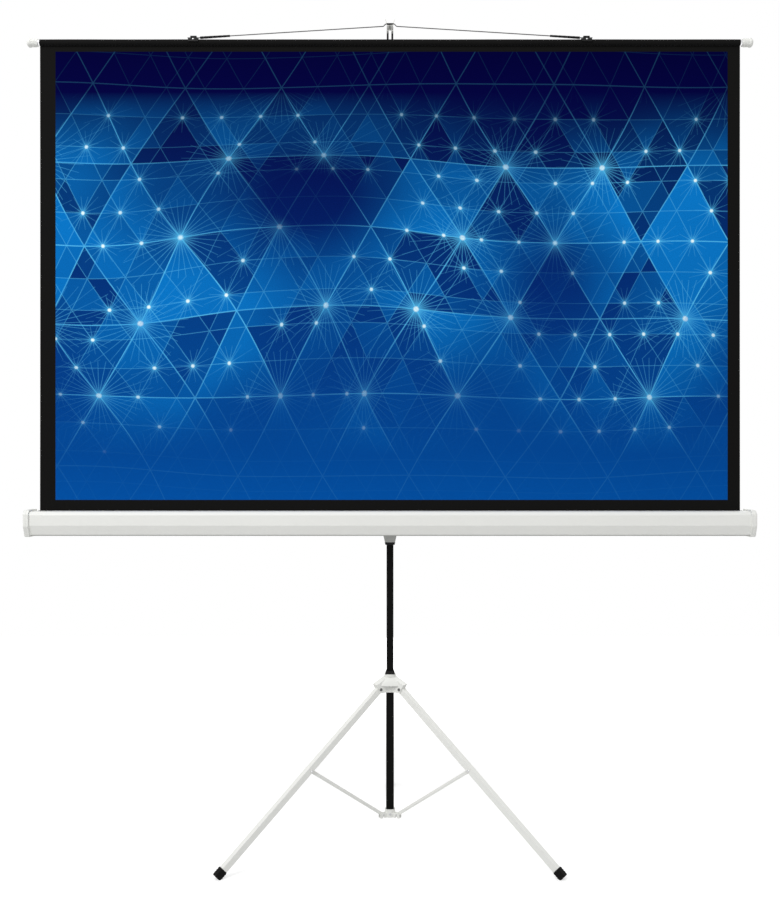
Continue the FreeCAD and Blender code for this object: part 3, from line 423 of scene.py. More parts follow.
def printSkin():
    skin, tree, shader, place = startSkin("screenPrint", printSet["rough"], printSet["spec"])
    sums, ramp, mix = partial(mathNode, tree), partial(rampNode, tree), partial(mixColour, tree)
    times = partial(sums, "MULTIPLY")
    parts = splitPlace(tree, place)
    across, up = parts["X"], parts["Z"]
    flatPlace = joinPlace(tree, across, up)
    share = ramp(up, 0.0, 1.0, printSet["low"], printSet["high"])
    fall = tree.nodes.new("ShaderNodeValToRGB")
    stops = fall.color_ramp.elements
    while len(stops) < len(printSet["fall"]):
        stops.new(0.5)
    for stop, (position, colour) in zip(stops, printSet["fall"]):
        stop.position = position
        stop.color = (*colour, 1)
    tree.links.new(share, fall.inputs["Fac"])
    base = fall.outputs["Color"]

    # the nets are pulled out of true by slow noise, and shine in soft clusters
    pull = tree.nodes.new("ShaderNodeVectorMath")
    pull.operation = "SCALE"
    pull.inputs["Scale"].default_value = printSet["warp"]
    slow = noiseNode(tree, flatPlace, printSet["warpScale"], *printSet["noise"], "Color")
    tree.links.new(slow, pull.inputs[0])
    pulled = tree.nodes.new("ShaderNodeVectorMath")
    tree.links.new(flatPlace, pulled.inputs[0])
    tree.links.new(pull.outputs[0], pulled.inputs[1])
    patches = noiseNode(tree, flatPlace, printSet["clusterScale"], *printSet["noise"])
    cluster = ramp(patches, 0.0, 1.0, *printSet["cluster"])
    for name in ("fadeLow", "fadeHigh"):
        cluster = times(cluster, ramp(share, 0.0, 1.0, *printSet[name]))
    links, points = printSet["linkColour"], printSet["pointColour"]
    for netSet in printSet["nets"]:
        net = placeGroup(tree, netGroup, {"Size": netSet["size"], "Rays": netSet["rays"]}, pulled.outputs[0])
        facet = ramp(net["Facet"], printSet["facetLeast"], 1.0, *printSet["litFacets"])
        facet = times(times(cluster, facet), netSet["facet"])
        base = mix(facet, base, printSet["facetColour"])
        lit = times(sums("GREATER_THAN", net["Pick"], netSet["pick"]), cluster)
        ray = ramp(net["Ray"], netSet["ray"], 0.0, *printSet["rayWide"])
        ray = times(ray, ramp(net["Spot"], 1.0, 0.0, 0.0, netSet["rayReach"]))
        base = mix(times(ray, lit), base, links)
        wide = netSet["linkWide"]
        link = ramp(net["Edge"], netSet["link"], 0.0, printSet["linkCore"] * wide, wide)
        base = mix(times(link, ramp(cluster, printSet["linkLeast"], 1.0)), base, links)
        halo = ramp(net["Spot"], printSet["haloTop"], 0.0, 0.0, netSet["halo"])
        base = mix(times(sums("POWER", halo, printSet["haloPower"]), lit), base, links)
        point = ramp(net["Spot"], 1.0, 0.0, printSet["pointCore"] * netSet["point"], netSet["point"])
        base = mix(times(point, lit), base, points)

    # black border round the picture
    weave = placeGroup(tree, weaveGroup, {"Threads": printSet["threads"]}, place)
    edge = printSet["edge"]
    border = 0.0
    for where, name, way in ((across, "left", -edge), (across, "right", edge),
                             (up, "low", -edge), (up, "high", edge)):
        beyond = ramp(where, 0.0, 1.0, printSet[name] - way, printSet[name] + way)
        border = sums("MAXIMUM", beyond, border)
    whole = mix(border, base, borderLook["tone"])
    shade = mix(printSet["threadShade"], whole, weave["Shade"], "MULTIPLY")
    tree.links.new(shade, shader.inputs["Base Color"])
    addBump(tree, shader, weave["Height"], printSet["bump"], printSet["bumpDepth"])
    return skin


finishes["screen_cloth"] = printSkin()
print("finishes made:", len(finishes))

# the carriage's funnel sits under the case: its darker grey is painted shade
ownFinish = {"hanger_bail": darkSteel, "leg_hinge_pins": darkSteel, "slider_block": paintedShadeGrey}
slotOf = {part["node"]: part["material_slot"] for part in frame["record"]["subparts"]}
for nodeName, node in nodes.items():
    node.data.materials.clear()
    node.data.materials.append(ownFinish.get(nodeName, finishes[slotOf[nodeName]]))
print("CAD nodes dressed")


# pieces made here: a shape of points and faces, the body it rides on, its slot and its finishes
sharpAngle = radians(40)
bothSides = {"left": -1, "right": 1}


def newShape():
    return {"verts": [], "faces": []}


def addLoops(shape, loops, wrap=False):
    start, count = len(shape["verts"]), len(loops[0])
    for loop in loops:
        shape["verts"] += [tuple(point) for point in loop]
    levels = len(loops) if wrap else len(loops) - 1
    for level in range(levels):
        a, b = start + level * count, start + (level + 1) % len(loops) * count
        for step in range(count):
            on = (step + 1) % count
            shape["faces"].append((a + step, a + on, b + on, b + step))
    if not wrap:
        last = start + (len(loops) - 1) * count
        shape["faces"] += [tuple(range(start + count - 1, start - 1, -1)), tuple(range(last, last + count))]


# the finish is the slot's own where none is given
def addPiece(name, shape, body, slot, *skins, faceSkins=None):
    mesh = bpy.data.meshes.new(name)
    mesh.from_pydata(shape["verts"], [], shape["faces"])
    for skin in skins or [finishes[slot]]:
        mesh.materials.append(skin)
    if faceSkins:
        mesh.polygons.foreach_set("material_index", faceSkins)
    tidy = bmesh.new()
    tidy.from_mesh(mesh)
    bmesh.ops.recalc_face_normals(tidy, faces=tidy.faces)
    tidy.to_mesh(mesh)
    tidy.free()
    mesh.polygons.foreach_set("use_smooth", [True] * len(mesh.polygons))
    mesh.set_sharp_from_angle(angle=sharpAngle)
    piece = addObject(name, mesh)
    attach(piece, body)
    return piece


def turnsOf(count, shift=0.0):
    return [2 * pi * (step + shift) / count for step in range(count)]


# round form about an axis from pairs of height and radius; a radius may be a function of the turn
def addTurned(shape, origin, axis, profile, steps):
    axis = Vector(axis).normalized()
    side = axis.orthogonal().normalized()
    up = axis.cross(side)
    loops = []
    for height, radius in profile:
        reach = radius if callable(radius) else (lambda turn, radius=radius: radius)
        loops.append([Vector(origin) + axis * height
                      + (side * cos(turn) + up * sin(turn)) * reach(turn) for turn in turnsOf(steps)])
    addLoops(shape, loops)


# domed head of a pin or rivet
domedSet = {"steps": 18, "sink": 0.25, "foot": 0.97, "arc": (0.35, 0.75, 1.1, 1.42)}


def addDome(shape, origin, axis, radius, height):
    profile = [(-domedSet["sink"] * height, domedSet["foot"] * radius), (0.0, radius)]
    profile += [(height * sin(turn), radius * cos(turn)) for turn in domedSet["arc"]]
    addTurned(shape, origin, axis, profile, domedSet["steps"])


# head of a screw with a cross recess, in shares of its height and radius
crossSet = {"steps": 32, "head": [(0.0, 0.98), (0.35, 1.0), (0.75, 0.88), (1.0, 0.64)], "armLong": 0.52,
            "armHalf": 0.13, "least": 1e-6, "floor": 0.35, "taper": 0.9}


def addScrew(shape, origin, axis, radius, height):
    def cross(turn):
        narrow = max(min(abs(cos(turn)), abs(sin(turn))), crossSet["least"])
        return min(crossSet["armLong"] * radius, crossSet["armHalf"] * radius / narrow)

    profile = [(share * height, scale * radius) for share, scale in crossSet["head"]]
    profile += [(height, cross), (crossSet["floor"] * height, lambda turn: crossSet["taper"] * cross(turn))]
    addTurned(shape, origin, axis, profile, crossSet["steps"])


# raised band round a bar of rounded square section
bandSet = {"steps": 24, "sink": 0.0006, "shoulder": 0.4, "slope": 0.3}


def roundSquare(halves, corner, grow=0.0):
    return [[copysign(half - corner, way) + (corner + grow) * way
             for half, way in zip(halves, (cos(turn), sin(turn)))]
            for turn in turnsOf(bandSet["steps"], 0.5)]


def addBand(shape, origin, axes, halves, corner, start, stop, rise):
    along, first, second = axes
    slope = bandSet["slope"] * (stop - start)
    sunk, shoulder = -bandSet["sink"], bandSet["shoulder"] * rise
    addLoops(shape, [[Vector(origin) + along * at + first * a + second * b
                      for a, b in roundSquare(halves, corner, grow)]
                     for at, grow in ((start, sunk), (start, shoulder), (start + slope, rise),
                                      (stop - slope, rise), (stop, shoulder), (stop, sunk))], wrap=True)


# half-round ridge through sections, each a place and a scale
def addRidge(shape, sections, across, out, wide, high, sink, steps):
    turns = [pi * step / steps for step in range(steps + 1)]
    addLoops(shape, [[spot + across * (wide * scale * cos(turn))
                      + out * (high * scale * sin(turn) - sink) for turn in turns]
                     for spot, scale in sections])


# the fabric: a thin closed sheet that hangs taut with a few faint waves, given per x, per z, phase and share
fabricSet = {"columns": 120, "rows": 90, "thick": 0.0004, "wave": 0.0011, "edgeCurl": 0.0016,
             "edgeWide": 0.05, "tuck": 0.0015, "waves": [(5.1, 0.0, 0.6, 0.6), (11.3, 2.1, 0.0, 0.4)]}
fabricLow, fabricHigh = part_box("screen_fabric")
fabricY = (fabricLow.y + fabricHigh.y) / 2
fabricTall = fabricHigh.z - fabricLow.z + fabricSet["tuck"]  # its top edge is tucked into the hem


def fabricBulge(x, z):
    slack = sin(pi * min(max((z - fabricLow.z) / fabricTall, 0), 1))
    wave = sum(sin(perX * x + perZ * z + phase) * share for perX, perZ, phase, share in fabricSet["waves"])
    toEdge = max(0.0, 1 - (fabricHigh.x - abs(x)) / fabricSet["edgeWide"])
    return slack * (fabricSet["wave"] * wave + fabricSet["edgeCurl"] * toEdge * toEdge)


columns, rows = fabricSet["columns"], fabricSet["rows"]
sheetShape, faceSkins = newShape(), []
for layer in (-1, 1):
    for row in range(rows + 1):
        z = fabricLow.z + fabricTall * row / rows
        for column in range(columns + 1):
            x = fabricLow.x + (fabricHigh.x - fabricLow.x) * column / columns
            sheetShape["verts"].append((x, fabricY + fabricBulge(x, z) + layer * fabricSet["thick"] / 2, z))
wide = columns + 1
back = wide * (rows + 1)
for row in range(rows):
    for column in range(columns):
        a = row * wide + column
        sheetShape["faces"] += [(a, a + 1, a + wide + 1, a + wide),
                                (back + a, back + a + wide, back + a + wide + 1, back + a + 1)]
        faceSkins += [0, 1]
rim = [*range(wide)] + [row * wide + columns for row in range(1, rows + 1)]
rim += [rows * wide + column for column in range(columns - 1, -1, -1)]
rim += [row * wide for row in range(rows - 1, 0, -1)]
for first, second in zip(rim, rim[1:] + rim[:1]):
    sheetShape["faces"].append((first, back + first, back + second, second))
    faceSkins.append(1)
screenSheet = addPiece("screenSheet", sheetShape, "case", "screen_cloth", finishes["screen_cloth"],
                       finishes["border_cloth"], faceSkins=faceSkins)
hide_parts("screen_fabric")

# the hem: the cloth goes round the batten and is sewn to itself
hemSet = {"ring": 28, "stations": 90, "thick": 0.0011, "loose": 0.012, "ripple": (23, 3),
          "stitch": 0.0048, "pitch": 0.0082, "thread": 0.00035, "stitchTurn": radians(28),
          "stitchSteps": 6, "stitchScale": [(0.0, 0.3), (0.15, 1.0), (0.85, 1.0), (1.0, 0.3)]}
hemLow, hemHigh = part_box("screen_hem")
hemMiddle = (hemLow + hemHigh) / 2
hemRadius = (hemHigh.z - hemLow.z) / 2
hemShape = newShape()
hemLoops = []
for inner in (0, 1):
    stations = range(hemSet["stations"] + 1)
    for station in (reversed(stations) if inner else stations):
        x = hemLow.x + (hemHigh.x - hemLow.x) * station / hemSet["stations"]
        radius = hemRadius - inner * hemSet["thick"]
        loop = []
        for turn in turnsOf(hemSet["ring"]):
            ripple = 1 + sin(hemSet["ripple"][0] * x + hemSet["ripple"][1] * turn)
            reach = radius * (1 - hemSet["loose"] * ripple * (1 - inner))
            loop.append((x, hemMiddle.y + reach * sin(turn), hemMiddle.z - reach * cos(turn)))
        hemLoops.append(loop)
addLoops(hemShape, hemLoops, wrap=True)
hemSleeve = addPiece("hemSleeve", hemShape, "batten", "border_cloth")
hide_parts("screen_hem")
stitchShape = newShape()
stitchAt = Vector((0, hemMiddle.y - hemRadius * sin(hemSet["stitchTurn"]),
                   hemMiddle.z - hemRadius * cos(hemSet["stitchTurn"])))
stitchProfile = [(share * hemSet["stitch"], scale * hemSet["thread"])
                 for share, scale in hemSet["stitchScale"]]
for count in range(int((hemHigh.x - hemLow.x - hemSet["pitch"]) / hemSet["pitch"])):
    start = hemLow.x + hemSet["pitch"] * (count + 0.5)
    addTurned(stitchShape, stitchAt + Vector((start, 0, 0)), (1, 0, 0), stitchProfile, hemSet["stitchSteps"])
hemStitches = addPiece("hemStitches", stitchShape, "batten", "border_cloth", threadSkin)
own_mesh(screenSheet)

# the turns of cloth still on the roller
rollSet = {"turns": 5, "perTurn": 40, "thick": 0.00045}
rollLow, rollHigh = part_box("screen_roll")
rollMiddle = (rollLow + rollHigh) / 2
rollOuter = (rollHigh.z - rollLow.z) / 2
rollInner = (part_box("roller_tube")[1].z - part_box("roller_tube")[0].z) / 2
rollShape = newShape()
rollThick, rollSteps = rollSet["thick"], rollSet["turns"] * rollSet["perTurn"]
rollLoops = []
for step in range(rollSteps + 1):
    turn = 2 * pi * step / rollSet["perTurn"]
    radius = rollInner + rollThick + (rollOuter - rollInner - 2 * rollThick) * step / rollSteps
    rollLoops.append([(x, rollMiddle.y + (radius + side * rollThick / 2) * cos(turn),
                       rollMiddle.z + (radius + side * rollThick / 2) * sin(turn))
                      for x, side in ((rollLow.x, -1), (rollHigh.x, -1), (rollHigh.x, 1), (rollLow.x, 1))])
addLoops(rollShape, rollLoops)
clothRoll = addPiece("clothRoll", rollShape, "roller", "screen_cloth", finishes["border_cloth"])
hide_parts("screen_roll")
print("fabric, hem and roll made")

# tripod: pin heads, rivet heads, foot bands and pressed beads on the braces
legSet = {
    "pitch": radians(41.9), "jointOut": 0.033, "jointUp": 0.404,
    "sides": {"left": 210, "right": 330, "rear": 90},
    "pinSide": 0.0114, "pinRadius": 0.004, "pinHeight": 0.0018,
    "rivetAlong": 0.268, "rivetRise": -0.0045, "rivetSide": 0.008, "rivetRadius": 0.0034,
    "rivetHeight": 0.0015, "footHalf": 0.0092, "footCorner": 0.002, "bandRise": 0.0007,
    "bands": [(0.5775, 0.5805), (0.5835, 0.5865), (0.5895, 0.5925)], "braceFoot": (0.022, 0.076),
    "braceHalf": 0.0025,
    "beads": [(0.09, 0.2), (0.11, 0.7), (0.14, 1.0), (0.86, 1.0), (0.89, 0.7), (0.91, 0.2)],
    "beadWide": 0.0018, "beadHigh": 0.0008, "beadSink": 0.0002, "beadSteps": 6,
}


def legPlace(azimuth, out, up, side):
    turn = radians(azimuth)
    return Vector((out * cos(turn) - side * sin(turn),
                   out * sin(turn) + side * cos(turn), up))


def legPoint(azimuth, along, rise, side):
    pitch = legSet["pitch"]
    return legPlace(azimuth, legSet["jointOut"] + along * cos(pitch) + rise * sin(pitch),
                    legSet["jointUp"] - along * sin(pitch) + rise * cos(pitch), side)


pinShape = newShape()
for sideName, azimuth in legSet["sides"].items():
    joint = legPoint(azimuth, 0, 0, 0)
    along = (legPoint(azimuth, 1, 0, 0) - joint).normalized()
    rise = (legPoint(azimuth, 0, 1, 0) - joint).normalized()
    across = (legPoint(azimuth, 0, 0, 1) - joint).normalized()
    rivetShape, bandShape, beadShape = newShape(), newShape(), newShape()
    for start, stop in legSet["bands"]:
        addBand(bandShape, joint, (along, across, rise), (legSet["footHalf"], legSet["footHalf"]),
                legSet["footCorner"], start, stop, legSet["bandRise"])
    braceTop = legPoint(azimuth, legSet["rivetAlong"], legSet["rivetRise"], 0)
    braceRun = legPlace(azimuth, *legSet["braceFoot"], 0) - braceTop
    braceUp = across.cross(braceRun).normalized()
    for way in (-1, 1):
        addDome(pinShape, joint + across * way * legSet["pinSide"], across * way,
                legSet["pinRadius"], legSet["pinHeight"])
        rivetAt = legPoint(azimuth, legSet["rivetAlong"], legSet["rivetRise"], way * legSet["rivetSide"])
        addDome(rivetShape, rivetAt, across * way, legSet["rivetRadius"], legSet["rivetHeight"])
        sections = [(braceTop + braceRun * share + across * way * legSet["braceHalf"], scale)
                    for share, scale in legSet["beads"]]
        addRidge(beadShape, sections, braceUp, across * way, legSet["beadWide"], legSet["beadHigh"],
                 legSet["beadSink"], legSet["beadSteps"])
    addPiece("rivetHeads_" + sideName, rivetShape, "leg_" + sideName, "steel")
    addPiece("footBands_" + sideName, bandShape, "leg_" + sideName, "black_rubber")
    addPiece("braceBeads_" + sideName, beadShape, "brace_" + sideName, "white_paint")
addPiece("hubPinHeads", pinShape, "hub", "steel", darkSteel)

# hub: three panels that close its dome from wing to wing and stand over the core
domeSet = {"steps": 16, "wingSide": 0.0108, "wingTurn": 60, "turns": (30, 150, 270), "bulge": 1.1,
           "profile": [(0.015, 0.4332), (0.0215, 0.43), (0.029, 0.423), (0.0335, 0.416), (0.034, 0.4135),
                       (0.0325, 0.413), (0.027, 0.418), (0.018, 0.424), (0.015, 0.425)]}


def domePoint(turn, out, share):
    corners = []
    for way in (-1, 1):
        wing = radians(turn + way * domeSet["wingTurn"])
        side = wing - way * pi / 2
        corners.append(Vector((out * cos(wing) + domeSet["wingSide"] * cos(side),
                               out * sin(wing) + domeSet["wingSide"] * sin(side))))
    middle = (corners[0] + corners[1]) / 2 * domeSet["bulge"]
    ahead = 1 - share
    return corners[0] * ahead * ahead + middle * 2 * share * ahead + corners[1] * share * share


domeShape = newShape()
for turn in domeSet["turns"]:
    addLoops(domeShape, [[(*domePoint(turn, out, step / domeSet["steps"]), up)
                          for out, up in domeSet["profile"]] for step in range(domeSet["steps"] + 1)])
addPiece("hubDome", domeShape, "hub", "grey_plastic")

# screws with a cross recess on the collar, the swivel plate and the caps
screwSet = {"radius": 0.0031, "height": 0.0016, "capSpots": [(-0.017, 0.013), (0.017, -0.013)],
            "capRadius": 0.0034}
screwRadius, screwHeight = screwSet["radius"], screwSet["height"]
collarLow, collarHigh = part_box("collar_screw")
collarShape = newShape()
collarMiddle = (collarLow + collarHigh) / 2
addScrew(collarShape, (collarMiddle.x, collarHigh.y, collarMiddle.z), (0, -1, 0), screwRadius, screwHeight)
collarHead = addPiece("collarScrewHead", collarShape, "mast", "steel")
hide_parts("collar_screw")
plateLow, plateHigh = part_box("plate_screws")
plateShape = newShape()
for x in (plateLow.x + screwRadius, plateHigh.x - screwRadius):
    for z in (plateLow.z + screwRadius, plateHigh.z - screwRadius):
        addScrew(plateShape, (x, plateLow.y, z), (0, 1, 0), screwRadius, screwHeight)
plateHeads = addPiece("plateScrewHeads", plateShape, "case", "steel")
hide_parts("plate_screws")
print("tripod details and screws made")

# case: bands round the caps, bosses and screws on their ends; a boss is in shares of its height and radius
capSet = {"bands": [(0.0004, 0.003), (0.0072, 0.0098)], "rise": 0.0006, "shoulder": 0.5, "sink": 0.0006,
          "probe": 0.001, "bossRadius": 0.0105, "bossHigh": 0.0016, "bossSteps": 32,
          "boss": [(-0.25, 1.0), (0.6, 1.0), (1.0, 0.93), (1.0, 0.72), (0.4, 0.66), (0.4, 0.3), (0.8, 0.26),
                   (0.8, 0.05)]}


def capOutline(name):
    points = [(vert.co.y, vert.co.z) for vert in nodes[name].data.vertices]
    return [Vector(points[index]) for index in convex_hull_2d(points)]


def growOutline(outline, grow):
    grown = []
    for index, point in enumerate(outline):
        before, after = outline[index - 1], outline[(index + 1) % len(outline)]
        run = (after - before).normalized()
        grown.append(point + Vector((run.y, -run.x)) * grow)
    return grown


sunk, rise = -capSet["sink"], capSet["rise"]
shoulder = capSet["shoulder"] * rise
for sideName, way in bothSides.items():
    capName = "case_cap_" + sideName
    capLow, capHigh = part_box(capName)
    mouth, end = (capLow.x, capHigh.x)[::way]
    outline = capOutline(capName)
    middle = Vector((rollMiddle.y, rollMiddle.z))
    if (growOutline(outline, capSet["probe"])[0] - middle).length < (outline[0] - middle).length:
        outline.reverse()
    capShape = newShape()
    for start, stop in capSet["bands"]:
        addLoops(capShape, [[(mouth + way * at, *point) for point in growOutline(outline, grow)]
                            for at, grow in ((start, sunk), (start, shoulder), ((start + stop) / 2, rise),
                                             (stop, shoulder), (stop, sunk))], wrap=True)
    boss = [(share * capSet["bossHigh"], scale * capSet["bossRadius"]) for share, scale in capSet["boss"]]
    addTurned(capShape, (end, middle.x, middle.y), (way, 0, 0), boss, capSet["bossSteps"])
    addPiece("capTrim_" + sideName, capShape, "case", "grey_plastic")
    capScrews = newShape()
    for y, z in screwSet["capSpots"]:
        spot = (end, middle.x + y, middle.y + z)
        addScrew(capScrews, spot, (way, 0, 0), screwSet["capRadius"], screwHeight)
    addPiece("capScrews_" + sideName, capScrews, "case", "steel")

# case: the folded hem of the sheet under its front edge, given a darker grey as painted shade along that
# edge
lipSet = {"y": -0.0842, "half": 0.0007, "top": 0.0003, "drop": 0.0017, "fold": 0.0005, "flat": 0.6,
          "endGap": 0.009, "ends": [(-1, 0.4), (-0.999, 1.0), (0.999, 1.0), (1, 0.4)]}
shellLow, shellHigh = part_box("case_shell")
lipShape = newShape()
lipLoops = []
for x, scale in lipSet["ends"]:
    reach = shellHigh.x - lipSet["endGap"]
    low, high = shellLow.z - lipSet["drop"] * scale, shellLow.z + lipSet["top"]
    fold, flat = low + lipSet["fold"], lipSet["flat"]
    lipLoops.append([(x * reach, lipSet["y"] + side * lipSet["half"], z) for side, z in (
        (-1, high), (-1, fold), (-flat, low), (flat, low), (1, fold), (1, high))])
addLoops(lipShape, lipLoops)
addPiece("caseLip", lipShape, "case", "white_paint", paintedShadeGrey)

# case: felt along both sides of the slot
feltSet = {"stations": 120, "half": 0.0035, "wide": 0.0022, "low": -0.003, "high": 0.0006, "fuzz": 0.00022,
           "fuzzTurn": 37, "outerEdge": 0.0003, "innerEdge": 0.0006, "crown": (0.7, 0.3), "endGap": 0.016}
feltShape = newShape()
most, least = feltSet["crown"]
for way in (-1, 1):
    loops = []
    for station in range(feltSet["stations"] + 1):
        reach = shellHigh.x - feltSet["endGap"]
        x = -reach + 2 * reach * station / feltSet["stations"]
        fuzz = feltSet["fuzz"] * sin(feltSet["fuzzTurn"] * station + way)
        outer, inner = way * feltSet["half"], way * (feltSet["half"] - feltSet["wide"] + fuzz)
        low, high = shellHigh.z + feltSet["low"], shellHigh.z + feltSet["high"] + fuzz
        loops.append([(x, fabricY + y, z) for y, z in (
            (outer, low), (outer, high - feltSet["outerEdge"]), (most * outer + least * inner, high),
            (least * outer + most * inner, high), (inner, high - feltSet["innerEdge"]), (inner, low))])
    addLoops(feltShape, loops)
addPiece("slotFelt", feltShape, "case", "border_cloth", feltSkin)
print("case details made")

# batten: ribs on the knobs, domed rivets on the clips
battenSet = {"rimAt": 0.01, "rimWide": 0.0075, "rimSteps": 40,
             "rim": [(0.0, -0.0006), (0.06, 0.0008), (0.3, 0.0019), (0.7, 0.0019), (0.94, 0.0008),
                     (1.0, -0.001)],
             "ribs": 20, "ribHalf": 0.0006, "ribRise": 0.0006, "ribStart": 0.0025, "ribStop": 0.009,
             "ribSlope": 0.001, "ribSink": 0.0005, "ribCrown": 0.0001, "ribFoot": 1.3, "ribTop": 0.7,
             "rivetTurn": radians(50), "rivetReach": 0.01135, "rivetRadius": 0.0028, "rivetHeight": 0.0016}
ribFoot, ribTop = battenSet["ribFoot"], battenSet["ribTop"]
ribStart, ribStop, ribSlope = battenSet["ribStart"], battenSet["ribStop"], battenSet["ribSlope"]
for sideName, way in bothSides.items():
    knobLow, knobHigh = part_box("batten_knob_" + sideName)
    knobRadius = (knobHigh.z - knobLow.z) / 2
    near, far = (knobLow.x, knobHigh.x)[::way]
    root = knobRadius - battenSet["ribSink"]
    ribShape = newShape()
    for turn in turnsOf(battenSet["ribs"]):
        out = Vector((0, cos(turn), sin(turn)))
        along = Vector((0, -sin(turn), cos(turn)))
        loops = []
        for x, grow in ((near + way * ribStart, 0.0), (near + way * (ribStart + ribSlope), 1.0),
                        (far - way * (ribStop + ribSlope), 1.0), (far - way * ribStop, 0.0)):
            top = knobRadius + battenSet["ribRise"] * grow
            spot = Vector((x, hemMiddle.y, hemMiddle.z))
            loops.append([spot + out * reach + along * half * battenSet["ribHalf"] for reach, half in (
                (root, -ribFoot), (top, -ribTop), (top + battenSet["ribCrown"], 0.0), (top, ribTop),
                (root, ribFoot))])
        addLoops(ribShape, loops)
    rim = [(share * battenSet["rimWide"], knobRadius + rise) for share, rise in battenSet["rim"]]
    addTurned(ribShape, (far - way * battenSet["rimAt"], hemMiddle.y, hemMiddle.z), (way, 0, 0), rim,
              battenSet["rimSteps"])
    addPiece("knobRibs_" + sideName, ribShape, "batten", "grey_plastic")
clipShape = newShape()
clipOut = Vector((0, -sin(battenSet["rivetTurn"]), cos(battenSet["rivetTurn"])))
for sideName in bothSides:
    clipLow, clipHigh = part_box("bail_clip_" + sideName)
    spot = Vector(((clipLow.x + clipHigh.x) / 2, hemMiddle.y, hemMiddle.z))
    addDome(clipShape, spot + clipOut * battenSet["rivetReach"], clipOut, battenSet["rivetRadius"],
            battenSet["rivetHeight"])
clipHeads = addPiece("clipRivetHeads", clipShape, "batten", "steel")
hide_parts("clip_rivets")

# bail: black sleeves on the wire beside the clips
sleeveSet = {"stations": 16, "steps": 16, "radius": 0.0031, "rise": 0.013, "hook": (-0.022, 2.13),
             "arm": 0.4895, "kink": 0.017, "kinkDrop": 0.009, "reach": (0.001, 0.078), "endRun": 0.0006,
             "endScale": 0.6, "taper": 0.18, "ripple": 0.05, "rippleTurn": 40}
bailAxis = Vector((0, hemMiddle.y, hemMiddle.z + sleeveSet["rise"]))
bailUp = Vector((0, sleeveSet["hook"][0] - bailAxis.y, sleeveSet["hook"][1] - bailAxis.z))
kinkAt = bailAxis + bailUp * (1 - sleeveSet["kinkDrop"] / bailUp.length)
sleeveShape = newShape()
start, stop = sleeveSet["reach"]
endRadius, endRun = sleeveSet["endScale"] * sleeveSet["radius"], sleeveSet["endRun"]
profile = [(start, endRadius)]
for station in range(sleeveSet["stations"] + 1):
    share = station / sleeveSet["stations"]
    ripple = sleeveSet["ripple"] * sin(sleeveSet["rippleTurn"] * share)
    radius = sleeveSet["radius"] * (1.0 - sleeveSet["taper"] * share + ripple)
    profile.append((start + endRun + (stop - start - 2 * endRun) * share, radius))
profile.append((stop, endRadius))
for way in (-1, 1):
    armFoot = bailAxis + Vector((way * sleeveSet["arm"], 0, 0))
    armTop = kinkAt + Vector((way * sleeveSet["kink"], 0, 0))
    addTurned(sleeveShape, armFoot, (armTop - armFoot).normalized(), profile, sleeveSet["steps"])
addPiece("bailSleeves", sleeveShape, "bail", "black_plastic")

# hook head: two cheeks over the prongs, a bridge above the slot between them, two horns
headSet = {"half": 0.0085, "slotHalf": 0.0035, "slotTop": 2.12445, "lap": 0.0001,
           "side": [(0.007, 2.112), (0.007, 2.127), (-0.0176, 2.13245), (-0.0198, 2.13245),
                    (-0.0198, 2.12845), (-0.0242, 2.12845), (-0.0264, 2.12925), (-0.029, 2.12925),
                    (-0.029, 2.12445), (-0.022, 2.112)],
           "horn": [(0.0055, 2.12845), (0.0085, 2.12845), (0.0125, 2.143), (0.011, 2.143)],
           "hornDeep": (-0.0198, -0.0158)}
headShape = newShape()
slotHalf, headSide = headSet["slotHalf"], headSet["side"]
bridgeEnd = slotHalf + headSet["lap"]
bridgeSide = [(y, max(z, headSet["slotTop"])) for y, z in headSide]
addLoops(headShape, [[(x, y, z) for y, z in bridgeSide] for x in (-bridgeEnd, bridgeEnd)])
for way in (-1, 1):
    addLoops(headShape, [[(way * x, y, z) for y, z in headSide] for x in (slotHalf, headSet["half"])])
    addLoops(headShape, [[(way * x, y, z) for x, z in headSet["horn"]] for y in headSet["hornDeep"]])
hookHead = addPiece("hookHead", headShape, "extension", "grey_plastic")
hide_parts("hook_head")

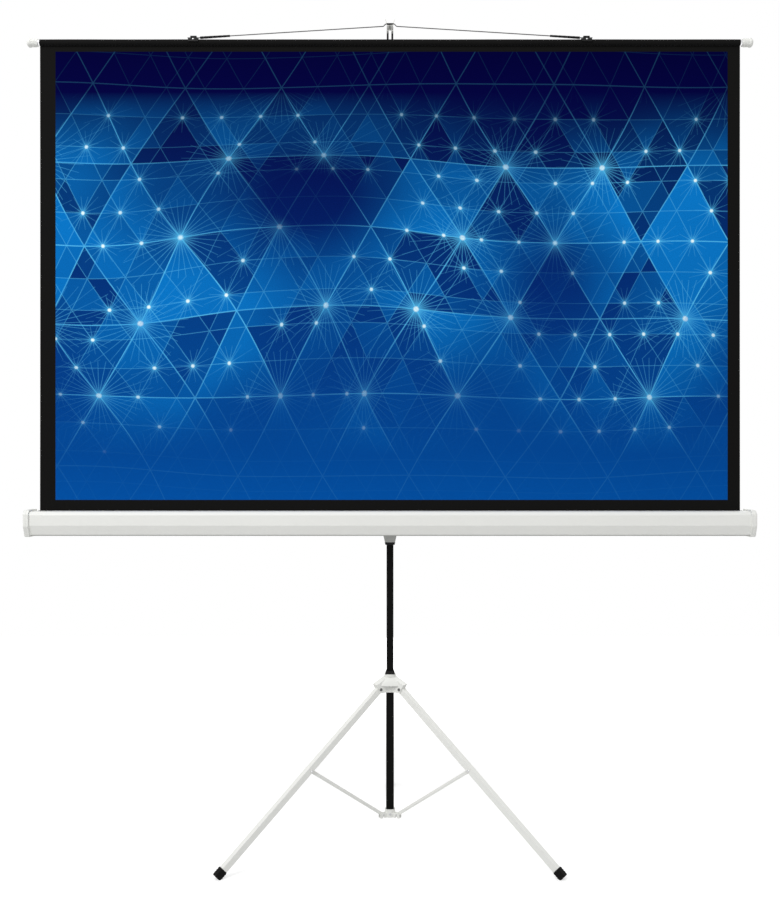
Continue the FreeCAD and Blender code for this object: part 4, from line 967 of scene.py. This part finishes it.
# hook: a dark strip where the wire sits, a grey pad over each prong
hookSet = {"stripHalf": 0.0083, "stripLow": 2.1249, "stripHigh": 2.1289, "stripDeep": 0.0011,
           "stripRoot": 0.0005, "stripEdge": 0.0003,
           "stripEnds": [(-1.0, 0.0004), (-0.94, 0.0), (0.94, 0.0), (1.0, 0.0004)],
           "padX": 0.006, "padWide": 0.0024, "padHigh": 0.0014, "padSink": 0.0003, "padSteps": 8,
           "padTop": (-0.0282, 2.1236), "padFoot": (-0.0226, 2.1134),
           "pads": [(0.0, 0.45), (0.08, 0.8), (0.25, 1.0), (0.75, 1.0), (0.92, 0.8), (1.0, 0.45)]}
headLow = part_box("hook_head")[0]
stripShape = newShape()
stripLoops = []
edge = hookSet["stripEdge"]
for x, inset in hookSet["stripEnds"]:
    low, high = hookSet["stripLow"] + inset, hookSet["stripHigh"] - inset
    face, root = headLow.y - hookSet["stripDeep"] + inset, headLow.y + hookSet["stripRoot"]
    stripLoops.append([(x * hookSet["stripHalf"], y, z) for y, z in (
        (root, low), (face + edge, low), (face, low + edge), (face, high - edge), (face + edge, high),
        (root, high))])
addLoops(stripShape, stripLoops)
addPiece("hookStrip", stripShape, "extension", "black_rubber")
padShape = newShape()
padTop, padFoot = Vector((0, *hookSet["padTop"])), Vector((0, *hookSet["padFoot"]))
padAcross = Vector((1, 0, 0))
padOut = padAcross.cross(padFoot - padTop).normalized()
if padOut.y > 0:
    padOut = -padOut
for way in (-1, 1):
    sections = [(padTop.lerp(padFoot, share) + padAcross * (way * hookSet["padX"]), scale)
                for share, scale in hookSet["pads"]]
    addRidge(padShape, sections, padAcross, padOut, hookSet["padWide"], hookSet["padHigh"],
             hookSet["padSink"], hookSet["padSteps"])
addPiece("hookPads", padShape, "extension", "grey_plastic", padGrey)

# carriage: a dark ring round the foot of its funnel
ringSet = {"levels": [(0.0, 0.0102), (0.0, 0.0119), (0.0008, 0.0124), (0.0062, 0.0136), (0.0068, 0.0131),
                      (0.0068, 0.0112)], "corner": 0.0022}
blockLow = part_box("slider_block")[0]
ringShape = newShape()
addLoops(ringShape, [[(x, y, blockLow.z + rise) for x, y in roundSquare((half, half), ringSet["corner"])]
                     for rise, half in ringSet["levels"]], wrap=True)
addPiece("funnelRing", ringShape, "slider", "black_plastic")

# handle: ribs round the grip
gripSet = {"first": 0.816, "pitch": 0.0055, "count": 9, "halfTall": 0.0014, "bar": 0.015, "corner": 0.004,
           "rise": 0.0007}
gripLow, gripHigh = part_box("carry_handle")
gripShape = newShape()
gripAxes = Vector((0, 0, 1)), Vector((1, 0, 0)), Vector((0, 1, 0))
gripHalves = (gripHigh.x - gripLow.x) / 2, gripSet["bar"] / 2
for count in range(gripSet["count"]):
    place = (0, gripHigh.y - gripSet["bar"] / 2, gripSet["first"] + gripSet["pitch"] * count)
    addBand(gripShape, place, gripAxes, gripHalves, gripSet["corner"], -gripSet["halfTall"],
            gripSet["halfTall"], gripSet["rise"])
addPiece("gripRibs", gripShape, "slider", "black_plastic")
print("batten, hook and handle details made")
